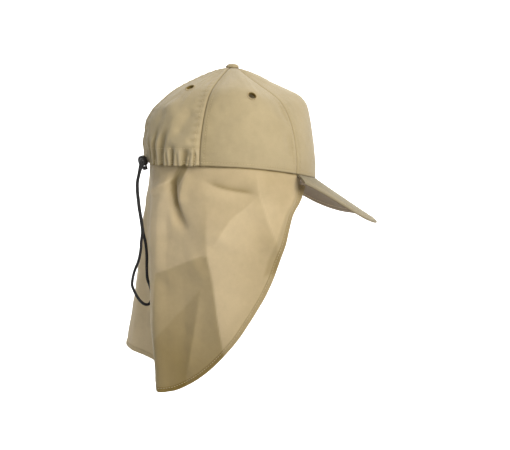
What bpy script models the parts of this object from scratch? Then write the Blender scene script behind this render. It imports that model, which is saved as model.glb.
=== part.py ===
"""Neck flap cap: a six panel sun cap with a long peak, a neck flap and a drawcord, in metres.

+X is the way the wearer faces, +Y the wearer's left and +Z up. The origin is the middle of the
head opening, at the mean height of the crown's bottom edge, and the cap has its worn form.

Places round the head are given as a turn: degrees from the front, going round the wearer's right
side, so 90 is the right ear, 180 the middle of the back and 270 the left ear.
"""

import math
from typing import NamedTuple

import bmesh
import bpy
from mathutils import Matrix, Vector

# Crown
CROWN_LENGTH = 0.196
CROWN_WIDTH = 0.160
CROWN_TOP = 0.113
CROWN_WALL = 0.002
BAND_FORWARD_TILT = 0.110
BAND_EAR_ARCH = 0.0086
FRONT_SEAM_TURN = 57.0
BACK_SEAM_TURN = 124.0
TOP_HOLE_RADIUS = 0.0045

# Gathers in the casing at the back of the crown
GATHER_DEPTH = 0.0030
CASING_RISE = 0.17
GATHER_END_RISE = 0.38
GATHER_PLAIN_BACK = 8.0

# Top button and eyelets
BUTTON_RADIUS = 0.0075
BUTTON_HEIGHT = 0.0042
EYELET_HOLE_RADIUS = 0.0040
EYELET_RADIUS = 0.0058
EYELET_THICKNESS = 0.0012
EYELET_SIDE_TURN = 87.0
EYELET_SIDE_RISE = 0.70
EYELET_BACK_TURN = 152.0
EYELET_BACK_RISE = 0.772

# Peak
PEAK_REACH = 0.0746
PEAK_HALF_WIDTH = 0.0861
PEAK_THICKNESS = 0.0024
PEAK_SLOPE = 0.646
PEAK_ARCH_RADIUS = 0.165
PEAK_END_TURN = 56.0
PEAK_END_TUCK = 0.0012
PEAK_BAND_DROP = 0.0012
PEAK_COLUMN_COUNT = 28
PEAK_ROW_COUNT = 6

# Neck flap
FLAP_DROP = 0.249
FLAP_WALL = 0.0012
FLAP_TUCK = 0.006
FLAP_FRONT_TURN = 50.8

# Drawcord, its exit and the cord lock on it
CORD_DIAMETER = 0.003
CORD_SPACING = 0.0034
CORD_BEND_RADIUS = 0.006
CORD_POINT_STEP = 0.007
CORD_BEND_STEP = 0.0026
CORD_DROP = 0.154
CORD_EXIT_CLEARANCE = 0.0006
LOCK_STAND_OFF = 0.0066
LOCK_ASIDE = 0.003
LOCK_RISE = 0.0031
LOCK_YAW = 17.9
LOCK_TILT = 17.0
LOCK_RADIUS = 0.0052
LOCK_WIDTH = 0.0122
LOCK_HALF_HEIGHT = 0.0062
LOCK_BASE_RADIUS = 0.0044
LOCK_ROOF = 0.0010
PLUNGER_RADIUS = 0.0029
PLUNGER_BUTTON = 0.0042
PLUNGER_TRAVEL = 0.0025

# Clearances and mesh steps
FIT_GAP = 0.0003
ROUND_SEGMENTS = 24
SMALL_SEGMENTS = 16
CURVE_PARTS = 16

HALF_LENGTH = CROWN_LENGTH / 2
HALF_WIDTH = CROWN_WIDTH / 2
MEAN_RADIUS = (HALF_LENGTH + HALF_WIDTH) / 2
BACK_EDGE_HEIGHT = BAND_FORWARD_TILT * HALF_LENGTH - BAND_EAR_ARCH / 2
LOCK_CENTRE = Vector((-HALF_LENGTH - LOCK_STAND_OFF, -LOCK_ASIDE, BACK_EDGE_HEIGHT + LOCK_RISE))


class CrownRow(NamedTuple):
    """Radius of the crown, as a share of the band's, at one share of the way up to the top."""
    rise: float
    front: float
    front_seam: float
    ear: float
    back_seam: float
    back: float


CROWN_ROWS = (
    CrownRow(0.00, 1.000, 1.000, 1.000, 1.025, 1.000),
    CrownRow(0.12, 0.990, 1.000, 1.000, 1.020, 1.012),
    CrownRow(0.25, 0.972, 0.982, 0.988, 0.990, 1.030),
    CrownRow(0.40, 0.952, 0.940, 0.955, 0.930, 1.015),
    CrownRow(0.55, 0.928, 0.860, 0.890, 0.850, 0.935),
    CrownRow(0.66, 0.900, 0.760, 0.805, 0.765, 0.812),
    CrownRow(0.74, 0.830, 0.620, 0.710, 0.665, 0.705),
    CrownRow(0.80, 0.675, 0.480, 0.600, 0.555, 0.592),
    CrownRow(0.86, 0.490, 0.340, 0.470, 0.420, 0.460),
    CrownRow(0.92, 0.335, 0.210, 0.310, 0.275, 0.320),
    CrownRow(0.97, 0.165, 0.110, 0.160, 0.145, 0.180),
    CrownRow(1.00, 0.000, 0.000, 0.000, 0.000, 0.000),
)


class Tuck(NamedTuple):
    """A tuck between two gathers of the casing, alike on both sides: its turn, its half width in
    degrees, its depth as a share of GATHER_DEPTH and how far up the crown it fades out."""
    turn: float
    half_width: float
    depth: float
    end_rise: float


TUCKS = (
    Tuck(127.5, 1.9, 0.70, 0.26),
    Tuck(134.3, 2.4, 1.00, 0.26),
    Tuck(143.4, 2.6, 0.90, 0.30),
    Tuck(153.2, 2.7, 1.00, 0.42),
    Tuck(161.8, 2.3, 0.80, 0.34),
    Tuck(169.4, 2.3, 0.90, 0.28),
)
CROWN_TURNS = (0.0, FRONT_SEAM_TURN, 90.0, BACK_SEAM_TURN, 180.0)
PLAIN_RISES = (0.0, 0.12, 0.25, 0.38, 0.50, 0.60, 0.68, 0.74, 0.80, 0.87, 0.93)
GATHERED_RISES = (0.0, 0.06, 0.12, 0.17, 0.22, 0.29, 0.37, 0.46, 0.56, 0.66, 0.74, 0.82, 0.91)


class PeakRow(NamedTuple):
    """A point on the peak's edge, as shares of its half width and of its length."""
    across: float
    forward: float


PEAK_ROWS = (
    PeakRow(0.000, 1.000),
    PeakRow(0.180, 0.986),
    PeakRow(0.350, 0.960),
    PeakRow(0.515, 0.922),
    PeakRow(0.660, 0.852),
    PeakRow(0.765, 0.762),
    PeakRow(0.830, 0.655),
    PeakRow(0.868, 0.500),
    PeakRow(0.895, 0.335),
    PeakRow(0.940, 0.165),
    PeakRow(1.000, 0.008),
)


class FlapRow(NamedTuple):
    """The flap at one turn: how far down its hem is, as a share of FLAP_DROP, and how far it
    stands out a third and two thirds of the way down and at the hem, as shares of the band."""
    turn: float
    hem: float
    upper: float
    lower: float
    edge: float


FLAP_ROWS = (
    FlapRow(50.8, 0.072, 0.980, 1.012, 1.042),
    FlapRow(56.0, 0.135, 0.990, 1.022, 1.045),
    FlapRow(62.0, 0.190, 1.015, 1.035, 1.040),
    FlapRow(70.0, 0.330, 1.020, 1.040, 1.045),
    FlapRow(80.0, 0.510, 1.025, 1.035, 1.020),
    FlapRow(92.0, 0.650, 1.020, 1.010, 0.975),
    FlapRow(106.0, 0.780, 1.010, 0.975, 0.930),
    FlapRow(122.0, 0.885, 0.995, 0.945, 0.905),
    FlapRow(138.0, 0.955, 0.985, 0.950, 0.925),
    FlapRow(150.0, 0.990, 1.004, 1.022, 0.992),
    FlapRow(159.0, 1.000, 1.071, 1.102, 1.074),
    FlapRow(169.0, 0.955, 1.050, 1.036, 1.008),
    FlapRow(180.0, 0.905, 0.985, 0.960, 0.960),
    FlapRow(190.0, 0.885, 1.010, 1.020, 1.080),
    FlapRow(200.0, 0.872, 1.085, 1.180, 1.280),
    FlapRow(209.0, 0.862, 1.100, 1.250, 1.390),
    FlapRow(220.0, 0.850, 1.050, 1.140, 1.230),
    FlapRow(234.0, 0.820, 1.000, 1.030, 1.060),
    FlapRow(250.0, 0.760, 1.000, 0.990, 0.980),
    FlapRow(266.0, 0.655, 1.015, 1.000, 0.980),
    FlapRow(280.0, 0.500, 1.020, 1.030, 1.020),
    FlapRow(290.0, 0.330, 1.020, 1.040, 1.045),
    FlapRow(298.0, 0.190, 1.015, 1.035, 1.040),
    FlapRow(304.0, 0.135, 0.990, 1.022, 1.045),
    FlapRow(309.2, 0.072, 0.980, 1.012, 1.042),
)
FLAP_COLUMNS = 44
FLAP_DROPS = (0.0, 0.05, 0.11, 0.17, 0.24, 0.32, 0.41, 0.50, 0.60, 0.70, 0.80, 0.90, 1.0)


class Fold(NamedTuple):
    """A fold in the flap: the turn and drop (share of FLAP_DROP) of its two ends, how far it
    stands out or in, and its half width, both as shares of FLAP_DROP."""
    start_turn: float
    start_drop: float
    end_turn: float
    end_drop: float
    height: float
    half_width: float


FLAP_FOLDS = (
    Fold(135.0, 0.00, 171.0, 0.10, 0.012, 0.045),
    Fold(137.0, 0.00, 147.0, 0.12, -0.022, 0.060),
    Fold(147.0, 0.12, 130.0, 0.30, -0.020, 0.065),
    Fold(127.0, 0.03, 89.0, 0.11, -0.014, 0.055),
    Fold(88.0, 0.00, 74.0, 0.39, 0.016, 0.080),
    Fold(66.0, 0.10, 76.0, 0.28, -0.012, 0.060),
    Fold(87.0, 0.10, 121.0, 0.37, 0.010, 0.110),
    Fold(156.0, 0.44, 120.0, 0.36, 0.010, 0.120),
    Fold(120.0, 0.36, 107.0, 0.76, 0.018, 0.160),
    Fold(228.0, 0.04, 240.0, 0.40, -0.016, 0.080),
    Fold(270.0, 0.06, 278.0, 0.40, 0.012, 0.080),
)


class CordRow(NamedTuple):
    """A point on the loop below the lock, as shares of the crown's half length and half width
    and of CORD_DROP."""
    back: float
    right: float
    down: float


# Down the nearer strand, round the bottom of the loop and up the farther strand
CORD_ROWS = (
    CordRow(1.136, 0.182, 0.030),
    CordRow(1.150, 0.150, 0.084),
    CordRow(1.152, 0.138, 0.138),
    CordRow(1.147, 0.138, 0.188),
    CordRow(1.135, 0.138, 0.277),
    CordRow(1.117, 0.138, 0.358),
    CordRow(1.104, 0.136, 0.447),
    CordRow(1.118, 0.118, 0.520),
    CordRow(1.122, 0.098, 0.580),
    CordRow(1.147, 0.080, 0.661),
    CordRow(1.200, 0.070, 0.748),
    CordRow(1.226, 0.064, 0.832),
    CordRow(1.208, 0.062, 0.880),
    CordRow(1.160, 0.060, 0.944),
    CordRow(1.102, 0.058, 0.988),
    CordRow(1.043, 0.058, 0.998),
    CordRow(1.004, 0.058, 0.962),
    CordRow(1.004, 0.060, 0.900),
    CordRow(1.024, 0.062, 0.850),
    CordRow(1.048, 0.064, 0.799),
    CordRow(1.052, 0.066, 0.710),
    CordRow(1.050, 0.072, 0.640),
    CordRow(1.054, 0.078, 0.580),
    CordRow(1.066, 0.086, 0.517),
    CordRow(1.088, 0.090, 0.452),
    CordRow(1.104, 0.090, 0.362),
    CordRow(1.121, 0.090, 0.281),
    CordRow(1.134, 0.090, 0.193),
    CordRow(1.139, 0.090, 0.142),
    CordRow(1.138, 0.104, 0.086),
    CordRow(1.125, 0.136, 0.030),
)


def clear_scene():
    """Remove every object that the scene opened with."""
    for item in list(bpy.data.objects):
        bpy.data.objects.remove(item, do_unlink=True)


def make_material(name, colour, roughness):
    """A plain Principled material with the piece's own colour."""
    material = bpy.data.materials.new(name)
    material.use_nodes = True
    shader = material.node_tree.nodes["Principled BSDF"]
    shader.inputs["Base Color"].default_value = (*colour, 1.0)
    shader.inputs["Roughness"].default_value = roughness
    shader.inputs["Metallic"].default_value = 0.0
    return material


def smooth_through(places, values, place, level_ends=False):
    """Value at a place on the smooth curve through the listed values, flat beyond its ends. With
    level_ends the curve is level there, as on a shape that is mirrored at both ends."""
    if place <= places[0]:
        return values[0]
    if place >= places[-1]:
        return values[-1]
    last = len(places) - 1
    index = next(i for i in range(last) if place <= places[i + 1])

    def slope(i):
        if i == 0 or i == last:
            if level_ends:
                return 0.0
            near = (i, i + 1) if i == 0 else (i - 1, i)
            return (values[near[1]] - values[near[0]]) / (places[near[1]] - places[near[0]])
        before = (values[i] - values[i - 1]) / (places[i] - places[i - 1])
        after = (values[i + 1] - values[i]) / (places[i + 1] - places[i])
        if before * after <= 0:
            return 0.0
        return 2 * before * after / (before + after)

    span = places[index + 1] - places[index]
    t = (place - places[index]) / span
    start, end = values[index], values[index + 1]
    rise_start, rise_end = slope(index) * span, slope(index + 1) * span
    return (start * (2 * t ** 3 - 3 * t ** 2 + 1) + rise_start * (t ** 3 - 2 * t ** 2 + t)
            + end * (3 * t ** 2 - 2 * t ** 3) + rise_end * (t ** 3 - t ** 2))


def smooth_step(start, end, value):
    """0 before start, 1 after end and an even curve between them."""
    t = min(1.0, max(0.0, (value - start) / (end - start)))
    return t * t * (3 - 2 * t)


def band_place(turn, share=1.0):
    """Place in plan at a turn, as a share of the way out to the band."""
    angle = math.radians(turn)
    return HALF_LENGTH * share * math.cos(angle), -HALF_WIDTH * share * math.sin(angle)


def band_height(turn):
    """Height of the crown's bottom edge: lower at the front and arched over the ears."""
    angle = math.radians(turn)
    forward = HALF_LENGTH * math.cos(angle)
    return BAND_EAR_ARCH * (math.sin(angle) ** 2 - 0.5) - BAND_FORWARD_TILT * forward


def out_of_band(turn):
    """Level direction straight out of the band at a turn."""
    angle = math.radians(turn)
    return Vector((math.cos(angle) / HALF_LENGTH, -math.sin(angle) / HALF_WIDTH, 0.0)).normalized()


def crown_share(turn, rise):
    """Radius of the crown as a share of the band's."""
    half_turn = abs((turn + 180.0) % 360.0 - 180.0)
    rises = [row.rise for row in CROWN_ROWS]
    at_turns = [smooth_through(rises, [row[column] for row in CROWN_ROWS], rise) for column in range(1, 6)]
    return smooth_through(CROWN_TURNS, at_turns, half_turn, level_ends=True)


def crown_point(turn, rise):
    """Point on the crown's outer face, without its gathers."""
    x, y = band_place(turn, crown_share(turn, rise))
    edge = band_height(turn)
    return Vector((x, y, edge + (CROWN_TOP - edge) * rise))


def crown_normal(turn, rise):
    """Outward direction of the crown's smooth face."""
    low, high = max(0.0, rise - 0.01), min(0.985, rise + 0.01)
    upward = crown_point(turn, high) - crown_point(turn, low)
    around = crown_point(turn + 1.0, rise) - crown_point(turn - 1.0, rise)
    return upward.cross(around).normalized()


def gather_height(turn, rise):
    """How far the pleats of the gathered casing stand out from the crown."""
    near = 180.0 - abs(turn - 180.0)
    if near <= BACK_SEAM_TURN:
        return 0.0
    puff = smooth_step(0.0, 4.0, near - BACK_SEAM_TURN)
    puff *= smooth_step(GATHER_PLAIN_BACK, GATHER_PLAIN_BACK + 7.0, 180.0 - near)
    puff *= 1.0 - smooth_step(CASING_RISE, GATHER_END_RISE, rise)
    for tuck in TUCKS:
        across = math.exp(-((near - tuck.turn) / tuck.half_width) ** 2)
        puff *= 1.0 - tuck.depth * across * (1.0 - smooth_step(CASING_RISE, tuck.end_rise, rise))
    seam_line = 1.0 - 0.4 * math.exp(-((rise - CASING_RISE) / 0.03) ** 2)
    return GATHER_DEPTH * puff * seam_line


def wall_solid(name, outer, inner, material):
    """A closed wall between two grids of points, its outer and its inner face."""
    rows, columns = len(outer), len(outer[0])
    mesh = bmesh.new()
    faces = [[[mesh.verts.new(point) for point in row] for row in grid] for grid in (outer, inner)]
    for side in faces:
        for r in range(rows - 1):
            for c in range(columns - 1):
                mesh.faces.new((side[r][c], side[r][c + 1], side[r + 1][c + 1], side[r + 1][c]))
    rim = [(0, c) for c in range(columns)] + [(r, columns - 1) for r in range(1, rows)]
    rim += [(rows - 1, c) for c in range(columns - 2, -1, -1)] + [(r, 0) for r in range(rows - 2, 0, -1)]
    for (r, c), (next_r, next_c) in zip(rim, rim[1:] + rim[:1]):
        mesh.faces.new((faces[0][r][c], faces[0][next_r][next_c], faces[1][next_r][next_c], faces[1][r][c]))
    return finish_mesh(name, mesh, material)


def finish_mesh(name, mesh, material):
    """Turn a bmesh into an object with its faces outwards and its material on it."""
    bmesh.ops.recalc_face_normals(mesh, faces=mesh.faces)
    data = bpy.data.meshes.new(name)
    mesh.to_mesh(data)
    mesh.free()
    data.shade_smooth()
    data.set_sharp_from_angle(angle=math.radians(40.0))
    item = bpy.data.objects.new(name, data)
    item.data.materials.append(material)
    bpy.context.scene.collection.objects.link(item)
    return item


def frame_at(point, direction):
    """Matrix that puts +Z along a direction at a point."""
    turned = direction.to_track_quat("Z", "Y").to_matrix().to_4x4()
    return Matrix.Translation(point) @ turned


def turned_solid(name, profile, place, material, segments=ROUND_SEGMENTS, squash=1.0):
    """A closed solid turned from (radius, height) points about +Z of a place; a point of radius 0
    is a pole, and squash widens the round along the place's own Y."""
    mesh = bmesh.new()
    rings = []
    for radius, height in profile:
        if radius == 0:
            rings.append([mesh.verts.new(place @ Vector((0, 0, height)))])
            continue
        ring = []
        for step in range(segments):
            angle = 2 * math.pi * step / segments
            local = Vector((radius * math.cos(angle), squash * radius * math.sin(angle), height))
            ring.append(mesh.verts.new(place @ local))
        rings.append(ring)
    closed = profile[0][0] > 0
    pairs = list(zip(rings, rings[1:])) + ([(rings[-1], rings[0])] if closed else [])
    for low, high in pairs:
        for step in range(segments):
            after = (step + 1) % segments
            corners = [low[step % len(low)], low[after % len(low)], high[after % len(high)], high[step % len(high)]]
            mesh.faces.new(list(dict.fromkeys(corners)))
    return finish_mesh(name, mesh, material)


def cut(item, cutter):
    """Cut one object out of another."""
    cutter.hide_render = True
    cutter.display_type = "WIRE"
    boolean = item.modifiers.new("cut", "BOOLEAN")
    boolean.operation = "DIFFERENCE"
    boolean.solver = "EXACT"
    boolean.object = cutter


def slot_cutter(name, place, width, height, length):
    """A rounded slot along +Z of a place, to cut with; width is along its X, height along its Y."""
    mesh = bmesh.new()
    radius = width / 2
    straight = max(0.0, height / 2 - radius)
    outline = []
    for end in (1, -1):
        for step in range(SMALL_SEGMENTS // 2 + 1):
            angle = math.pi * step / (SMALL_SEGMENTS // 2)
            outline.append((end * radius * math.cos(angle), end * (straight + radius * math.sin(angle))))
    rings = [[mesh.verts.new(place @ Vector((x, y, z))) for x, y in outline] for z in (-length / 2, length / 2)]
    count = len(outline)
    for step in range(count):
        after = (step + 1) % count
        mesh.faces.new((rings[0][step], rings[0][after], rings[1][after], rings[1][step]))
    mesh.faces.new(rings[0][::-1])
    mesh.faces.new(rings[1])
    bmesh.ops.remove_doubles(mesh, verts=mesh.verts, dist=1e-6)
    return finish_mesh(name, mesh, bpy.data.materials["cutter"])


def panel_turns(start, end, columns, rise):
    """Turns across one crown panel at one height, held back from its two seams by half the gap."""
    radius = math.hypot(*band_place((start + end) / 2, crown_share((start + end) / 2, rise)))
    hold = math.degrees(FIT_GAP / 2 / max(radius, TOP_HOLE_RADIUS / 2))
    low, high = start + hold, end - hold
    return [low + (high - low) * step / columns for step in range(columns + 1)]


def rise_at_radius(turn, radius):
    """How far up the crown it has drawn in to a radius near its top, as a share of its height."""
    low, high = 0.9, 1.0
    for _ in range(30):
        middle = (low + high) / 2
        if crown_share(turn, middle) * MEAN_RADIUS > radius:
            low = middle
        else:
            high = middle
    return high


def crown_panel(name, start, end, columns, rises, material):
    """One panel of the crown between two seams, from the band to the hole under the button."""
    outer, inner = [], []
    for rise in rises + (rise_at_radius((start + end) / 2, TOP_HOLE_RADIUS),):
        outer_row, inner_row = [], []
        for turn in panel_turns(start, end, columns, rise):
            normal = crown_normal(turn, rise)
            face = crown_point(turn, rise) + out_of_band(turn) * gather_height(turn, rise)
            outer_row.append(face)
            inner_row.append(face - normal * CROWN_WALL)
        outer.append(outer_row)
        inner.append(inner_row)
    return wall_solid(name, outer, inner, material)


def eyelet(name, panel, turn, rise, material):
    """A sewn eyelet: its hole through the panel and the thick thread rim that lines the hole."""
    point, normal = crown_point(turn, rise), crown_normal(turn, rise)
    place = frame_at(point, normal)
    sleeve = (EYELET_HOLE_RADIUS + EYELET_RADIUS) / 2
    opening = 2 * (sleeve + FIT_GAP)
    hole = slot_cutter(name + "_hole", place, opening, opening, 6 * CROWN_WALL)
    cut(panel, hole)
    low, high = FIT_GAP, FIT_GAP + EYELET_THICKNESS
    bulge = EYELET_THICKNESS * 0.3
    profile = [
        (EYELET_HOLE_RADIUS, -CROWN_WALL), (EYELET_HOLE_RADIUS, high - bulge),
        (EYELET_HOLE_RADIUS + bulge, high), (EYELET_RADIUS - bulge, high),
        (EYELET_RADIUS, low), (sleeve, low), (sleeve, -CROWN_WALL),
    ]
    return turned_solid(name, profile, place, material, SMALL_SEGMENTS)


def top_button(material):
    """The covered button, domed above, that sits on the crown's top with its rim turned down."""
    ring, rim = ([crown_point(turn, rise_at_radius(turn, radius)).z for turn in range(0, 360, 15)]
                 for radius in (TOP_HOLE_RADIUS, BUTTON_RADIUS))
    place = Matrix.Translation((0, 0, max(ring) + FIT_GAP))
    profile = [(0, 0), (TOP_HOLE_RADIUS, 0), (BUTTON_RADIUS * 0.97, max(rim) - max(ring))]
    for degrees in (8, 30, 52, 74):
        angle = math.radians(degrees)
        profile.append((BUTTON_RADIUS * math.cos(angle), BUTTON_HEIGHT * math.sin(angle)))
    profile.append((0, BUTTON_HEIGHT))
    return turned_solid("top_button", profile, place, material, SMALL_SEGMENTS)


def peak_height(x, y):
    """Height of the peak's top face: a tilted arch that is highest in the middle."""
    middle = band_height(0.0) - PEAK_BAND_DROP
    return middle - PEAK_SLOPE * (x - HALF_LENGTH) - y * y / (2 * PEAK_ARCH_RADIUS)


def peak_tuck(turn):
    """How far the peak reaches in under the crown's edge: less where the flap hangs inside it."""
    full = CROWN_WALL + FLAP_WALL + 3 * FIT_GAP
    beside_flap = smooth_step(FLAP_FRONT_TURN - 8.0, FLAP_FRONT_TURN - 3.0, abs(turn))
    return full + (PEAK_END_TUCK - full) * beside_flap


def peak_edge(share):
    """Place in plan on the peak's outer edge; share runs from -1, its right end, to 1."""
    steps = [index / (len(PEAK_ROWS) - 1) for index in range(len(PEAK_ROWS))]
    across = smooth_through(steps, [row.across for row in PEAK_ROWS], abs(share))
    forward = smooth_through(steps, [row.forward for row in PEAK_ROWS], abs(share))
    start = band_place(PEAK_END_TURN)[0]
    tip = HALF_LENGTH + PEAK_REACH
    return start + (tip - start) * forward, math.copysign(PEAK_HALF_WIDTH * across, share)


def peak(material):
    """The stiff peak: a strip under the crown's front edge, then the blade to its rounded tip."""
    outer, inner = [], []
    for r in range(-1, PEAK_ROW_COUNT + 1):
        reach = max(0, r) / PEAK_ROW_COUNT
        top_row = []
        for c in range(PEAK_COLUMN_COUNT + 1):
            share = 2 * c / PEAK_COLUMN_COUNT - 1
            turn = -PEAK_END_TURN * share
            start = Vector((*band_place(turn), 0)) + out_of_band(turn) * FIT_GAP
            place = start.lerp(Vector((*peak_edge(share), 0)), reach)
            lift = band_height(turn) - FIT_GAP - peak_height(start.x, start.y)
            height = peak_height(place.x, place.y) + lift * (1 - reach) ** 2
            if r < 0:
                place -= out_of_band(turn) * peak_tuck(turn)
            top_row.append(Vector((place.x, place.y, height)))
        outer.append(top_row)
        inner.append([point - Vector((0, 0, PEAK_THICKNESS)) for point in top_row])
    return wall_solid("peak", outer, inner, material)


def fold_height(turn, height):
    """How far the flap's folds stand out, or in, at a turn and a height."""
    total = 0.0
    here = Vector((math.radians(turn) * MEAN_RADIUS, height))
    for fold in FLAP_FOLDS:
        start = Vector((math.radians(fold.start_turn) * MEAN_RADIUS, -fold.start_drop * FLAP_DROP))
        end = Vector((math.radians(fold.end_turn) * MEAN_RADIUS, -fold.end_drop * FLAP_DROP))
        run = end - start
        along = (here - start).dot(run) / run.dot(run)
        aside = (here - (start + run * along)).length / (fold.half_width * FLAP_DROP)
        ends = smooth_step(-0.15, 0.15, along) * smooth_step(-0.15, 0.15, 1 - along)
        total += fold.height * FLAP_DROP * ends * (1 - smooth_step(0.0, 1.0, aside))
    return total


def flap_point(turn, drop):
    """Point on the flap's outer face, at a share of the way down from the band to its hem."""
    turns = [row.turn for row in FLAP_ROWS]
    row = FlapRow(turn, *(smooth_through(turns, [each[i] for each in FLAP_ROWS], turn) for i in range(1, 5)))
    top = band_height(turn)
    hem = -row.hem * FLAP_DROP
    inset = (CROWN_WALL + FIT_GAP) / MEAN_RADIUS
    share = smooth_through((0, 1 / 3, 2 / 3, 1), (1 - inset, row.upper, row.lower, row.edge), drop)
    height = top + (hem - top) * drop
    x, y = band_place(turn, share)
    out = out_of_band(turn) * fold_height(turn, height) * smooth_step(0.0, 0.12, drop)
    return Vector((x, y, height)) + out


def flap_normal(turn, drop):
    """Outward direction of the flap's face."""
    down = flap_point(turn, min(1.0, drop + 0.02)) - flap_point(turn, max(0.0, drop - 0.02))
    around = flap_point(turn + 0.5, drop) - flap_point(turn - 0.5, drop)
    return around.cross(down).normalized()


def neck_flap(material):
    """The flap: a strip tucked inside the crown's edge, and the sheet that hangs from it."""
    start, end = FLAP_FRONT_TURN, 360.0 - FLAP_FRONT_TURN
    turns = [start + (end - start) * step / FLAP_COLUMNS for step in range(FLAP_COLUMNS + 1)]
    outer, inner = [], []
    for tuck in (FLAP_TUCK, 0.5 * FLAP_TUCK):
        outer_row, inner_row = [], []
        for turn in turns:
            rise = tuck / (CROWN_TOP - band_height(turn))
            normal = crown_normal(turn, rise)
            face = crown_point(turn, rise) - normal * (CROWN_WALL + FIT_GAP)
            outer_row.append(face)
            inner_row.append(face - normal * FLAP_WALL)
        outer.append(outer_row)
        inner.append(inner_row)
    for drop in FLAP_DROPS:
        outer.append([flap_point(turn, drop) for turn in turns])
        inner.append([flap_point(turn, drop) - flap_normal(turn, drop) * FLAP_WALL for turn in turns])
    return wall_solid("neck_flap", outer, inner, material)


def cord_axis():
    """Level direction of the lock's cross hole, from the wearer's right to left."""
    yaw = math.radians(LOCK_YAW)
    return Vector((math.sin(yaw), math.cos(yaw), 0.0))


def lock_place():
    """The cord lock's own frame: +Z up its axis and +Y along its cross hole."""
    yaw = Matrix.Rotation(math.radians(-LOCK_YAW), 4, "Z")
    return Matrix.Translation(LOCK_CENTRE) @ yaw @ Matrix.Rotation(math.radians(-LOCK_TILT), 4, "Y")


def cord_hole_cutter(name):
    """Cutter for the cross hole that both strands of the cord pass through."""
    place = lock_place() @ Matrix.Rotation(math.radians(-90.0), 4, "X")
    width = CORD_DIAMETER + 2 * FIT_GAP
    return slot_cutter(name, place, width, width + CORD_SPACING, 2 * LOCK_WIDTH)


def strand_mouth(level, side):
    """Middle of a strand just outside the lock: side is 1 at the far mouth and -1 at the near."""
    return lock_place() @ Vector((0, side * (LOCK_WIDTH + CORD_DIAMETER) / 2, level))


def strand_to_casing(level):
    """Points of one strand from its end in the casing, round a bend, to the lock's far mouth."""
    axis = cord_axis()
    mouth = strand_mouth(level, 1)
    radius = (CROWN_WALL / 2 - HALF_LENGTH - mouth.x) / axis.y
    centre = mouth + Vector((axis.y, -axis.x, 0)) * radius
    points = []
    for step in range(5):
        angle = math.radians(90.0 + (90.0 - LOCK_YAW) * step / 4)
        points.append(centre + Vector((math.cos(angle), math.sin(angle), 0)) * radius)
    return points


def strand_from_lock(level):
    """Points of one strand from the lock's near mouth, round a bend, to where it hangs."""
    out = -cord_axis()
    radius = CORD_BEND_RADIUS + CORD_SPACING / 2 + level
    mouth = strand_mouth(level, -1)
    points = []
    for step in range(4):
        angle = math.radians(22.0 * step)
        points.append(mouth + out * radius * math.sin(angle) - Vector((0, 0, radius * (1 - math.cos(angle)))))
    return points


def cord_lock(body_material, plunger_material):
    """The sprung toggle: a rounded barrel and the button that slides up into it."""
    place = lock_place()
    top, base = LOCK_HALF_HEIGHT, -0.9 * LOCK_HALF_HEIGHT
    profile = [(0, base), (LOCK_BASE_RADIUS, base), (LOCK_RADIUS * 0.98, base * 0.55), (LOCK_RADIUS, 0)]
    for angle in (25, 45, 65, 80):
        around = math.radians(angle)
        profile.append((LOCK_RADIUS * math.cos(around) ** 0.8, top * math.sin(around)))
    profile.append((0, top))
    body = turned_solid("cord_lock_body", profile, place, body_material, ROUND_SEGMENTS,
                        LOCK_WIDTH / 2 / LOCK_RADIUS)
    bore_top = top - LOCK_ROOF
    bore = [(0, 2 * base), (PLUNGER_RADIUS + FIT_GAP, 2 * base), (PLUNGER_RADIUS + FIT_GAP, bore_top), (0, bore_top)]
    cut(body, turned_solid("lock_bore", bore, place, bpy.data.materials["cutter"]))
    cut(body, cord_hole_cutter("lock_cord_hole"))

    strands = (CORD_SPACING + CORD_DIAMETER) / 2
    shoulder = -strands - 2 * FIT_GAP - PLUNGER_TRAVEL
    leg_top = bore_top - PLUNGER_TRAVEL - FIT_GAP
    tip = shoulder - PLUNGER_BUTTON
    bevel = 0.25 * PLUNGER_RADIUS
    shape = [(0, tip), (PLUNGER_RADIUS - bevel, tip), (PLUNGER_RADIUS, tip + bevel),
             (PLUNGER_RADIUS, leg_top), (0, leg_top)]
    plunger = turned_solid("cord_lock_plunger", shape, place, plunger_material, SMALL_SEGMENTS)
    reach = leg_top - shoulder
    fork = place @ Matrix.Translation((0, 0, leg_top)) @ Matrix.Rotation(math.radians(-90.0), 4, "X")
    width = CORD_DIAMETER + 4 * FIT_GAP
    cut(plunger, slot_cutter("plunger_fork", fork, width, 2 * reach, 4 * PLUNGER_RADIUS))
    return body, plunger


def cord_exit(panel):
    """The slot in the casing that both strands come out of."""
    upper, lower = (strand_to_casing(level)[0] for level in (CORD_SPACING / 2, -CORD_SPACING / 2))
    place = Matrix.Translation((upper + lower) / 2) @ Matrix.Rotation(math.radians(90.0), 4, "Z")
    place = place @ Matrix.Rotation(math.radians(90.0), 4, "X")
    width = CORD_DIAMETER + 2 * CORD_EXIT_CLEARANCE
    slot = slot_cutter("cord_exit_slot", place, width, width + CORD_SPACING, 8 * CROWN_WALL)
    cut(panel, slot)


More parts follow.
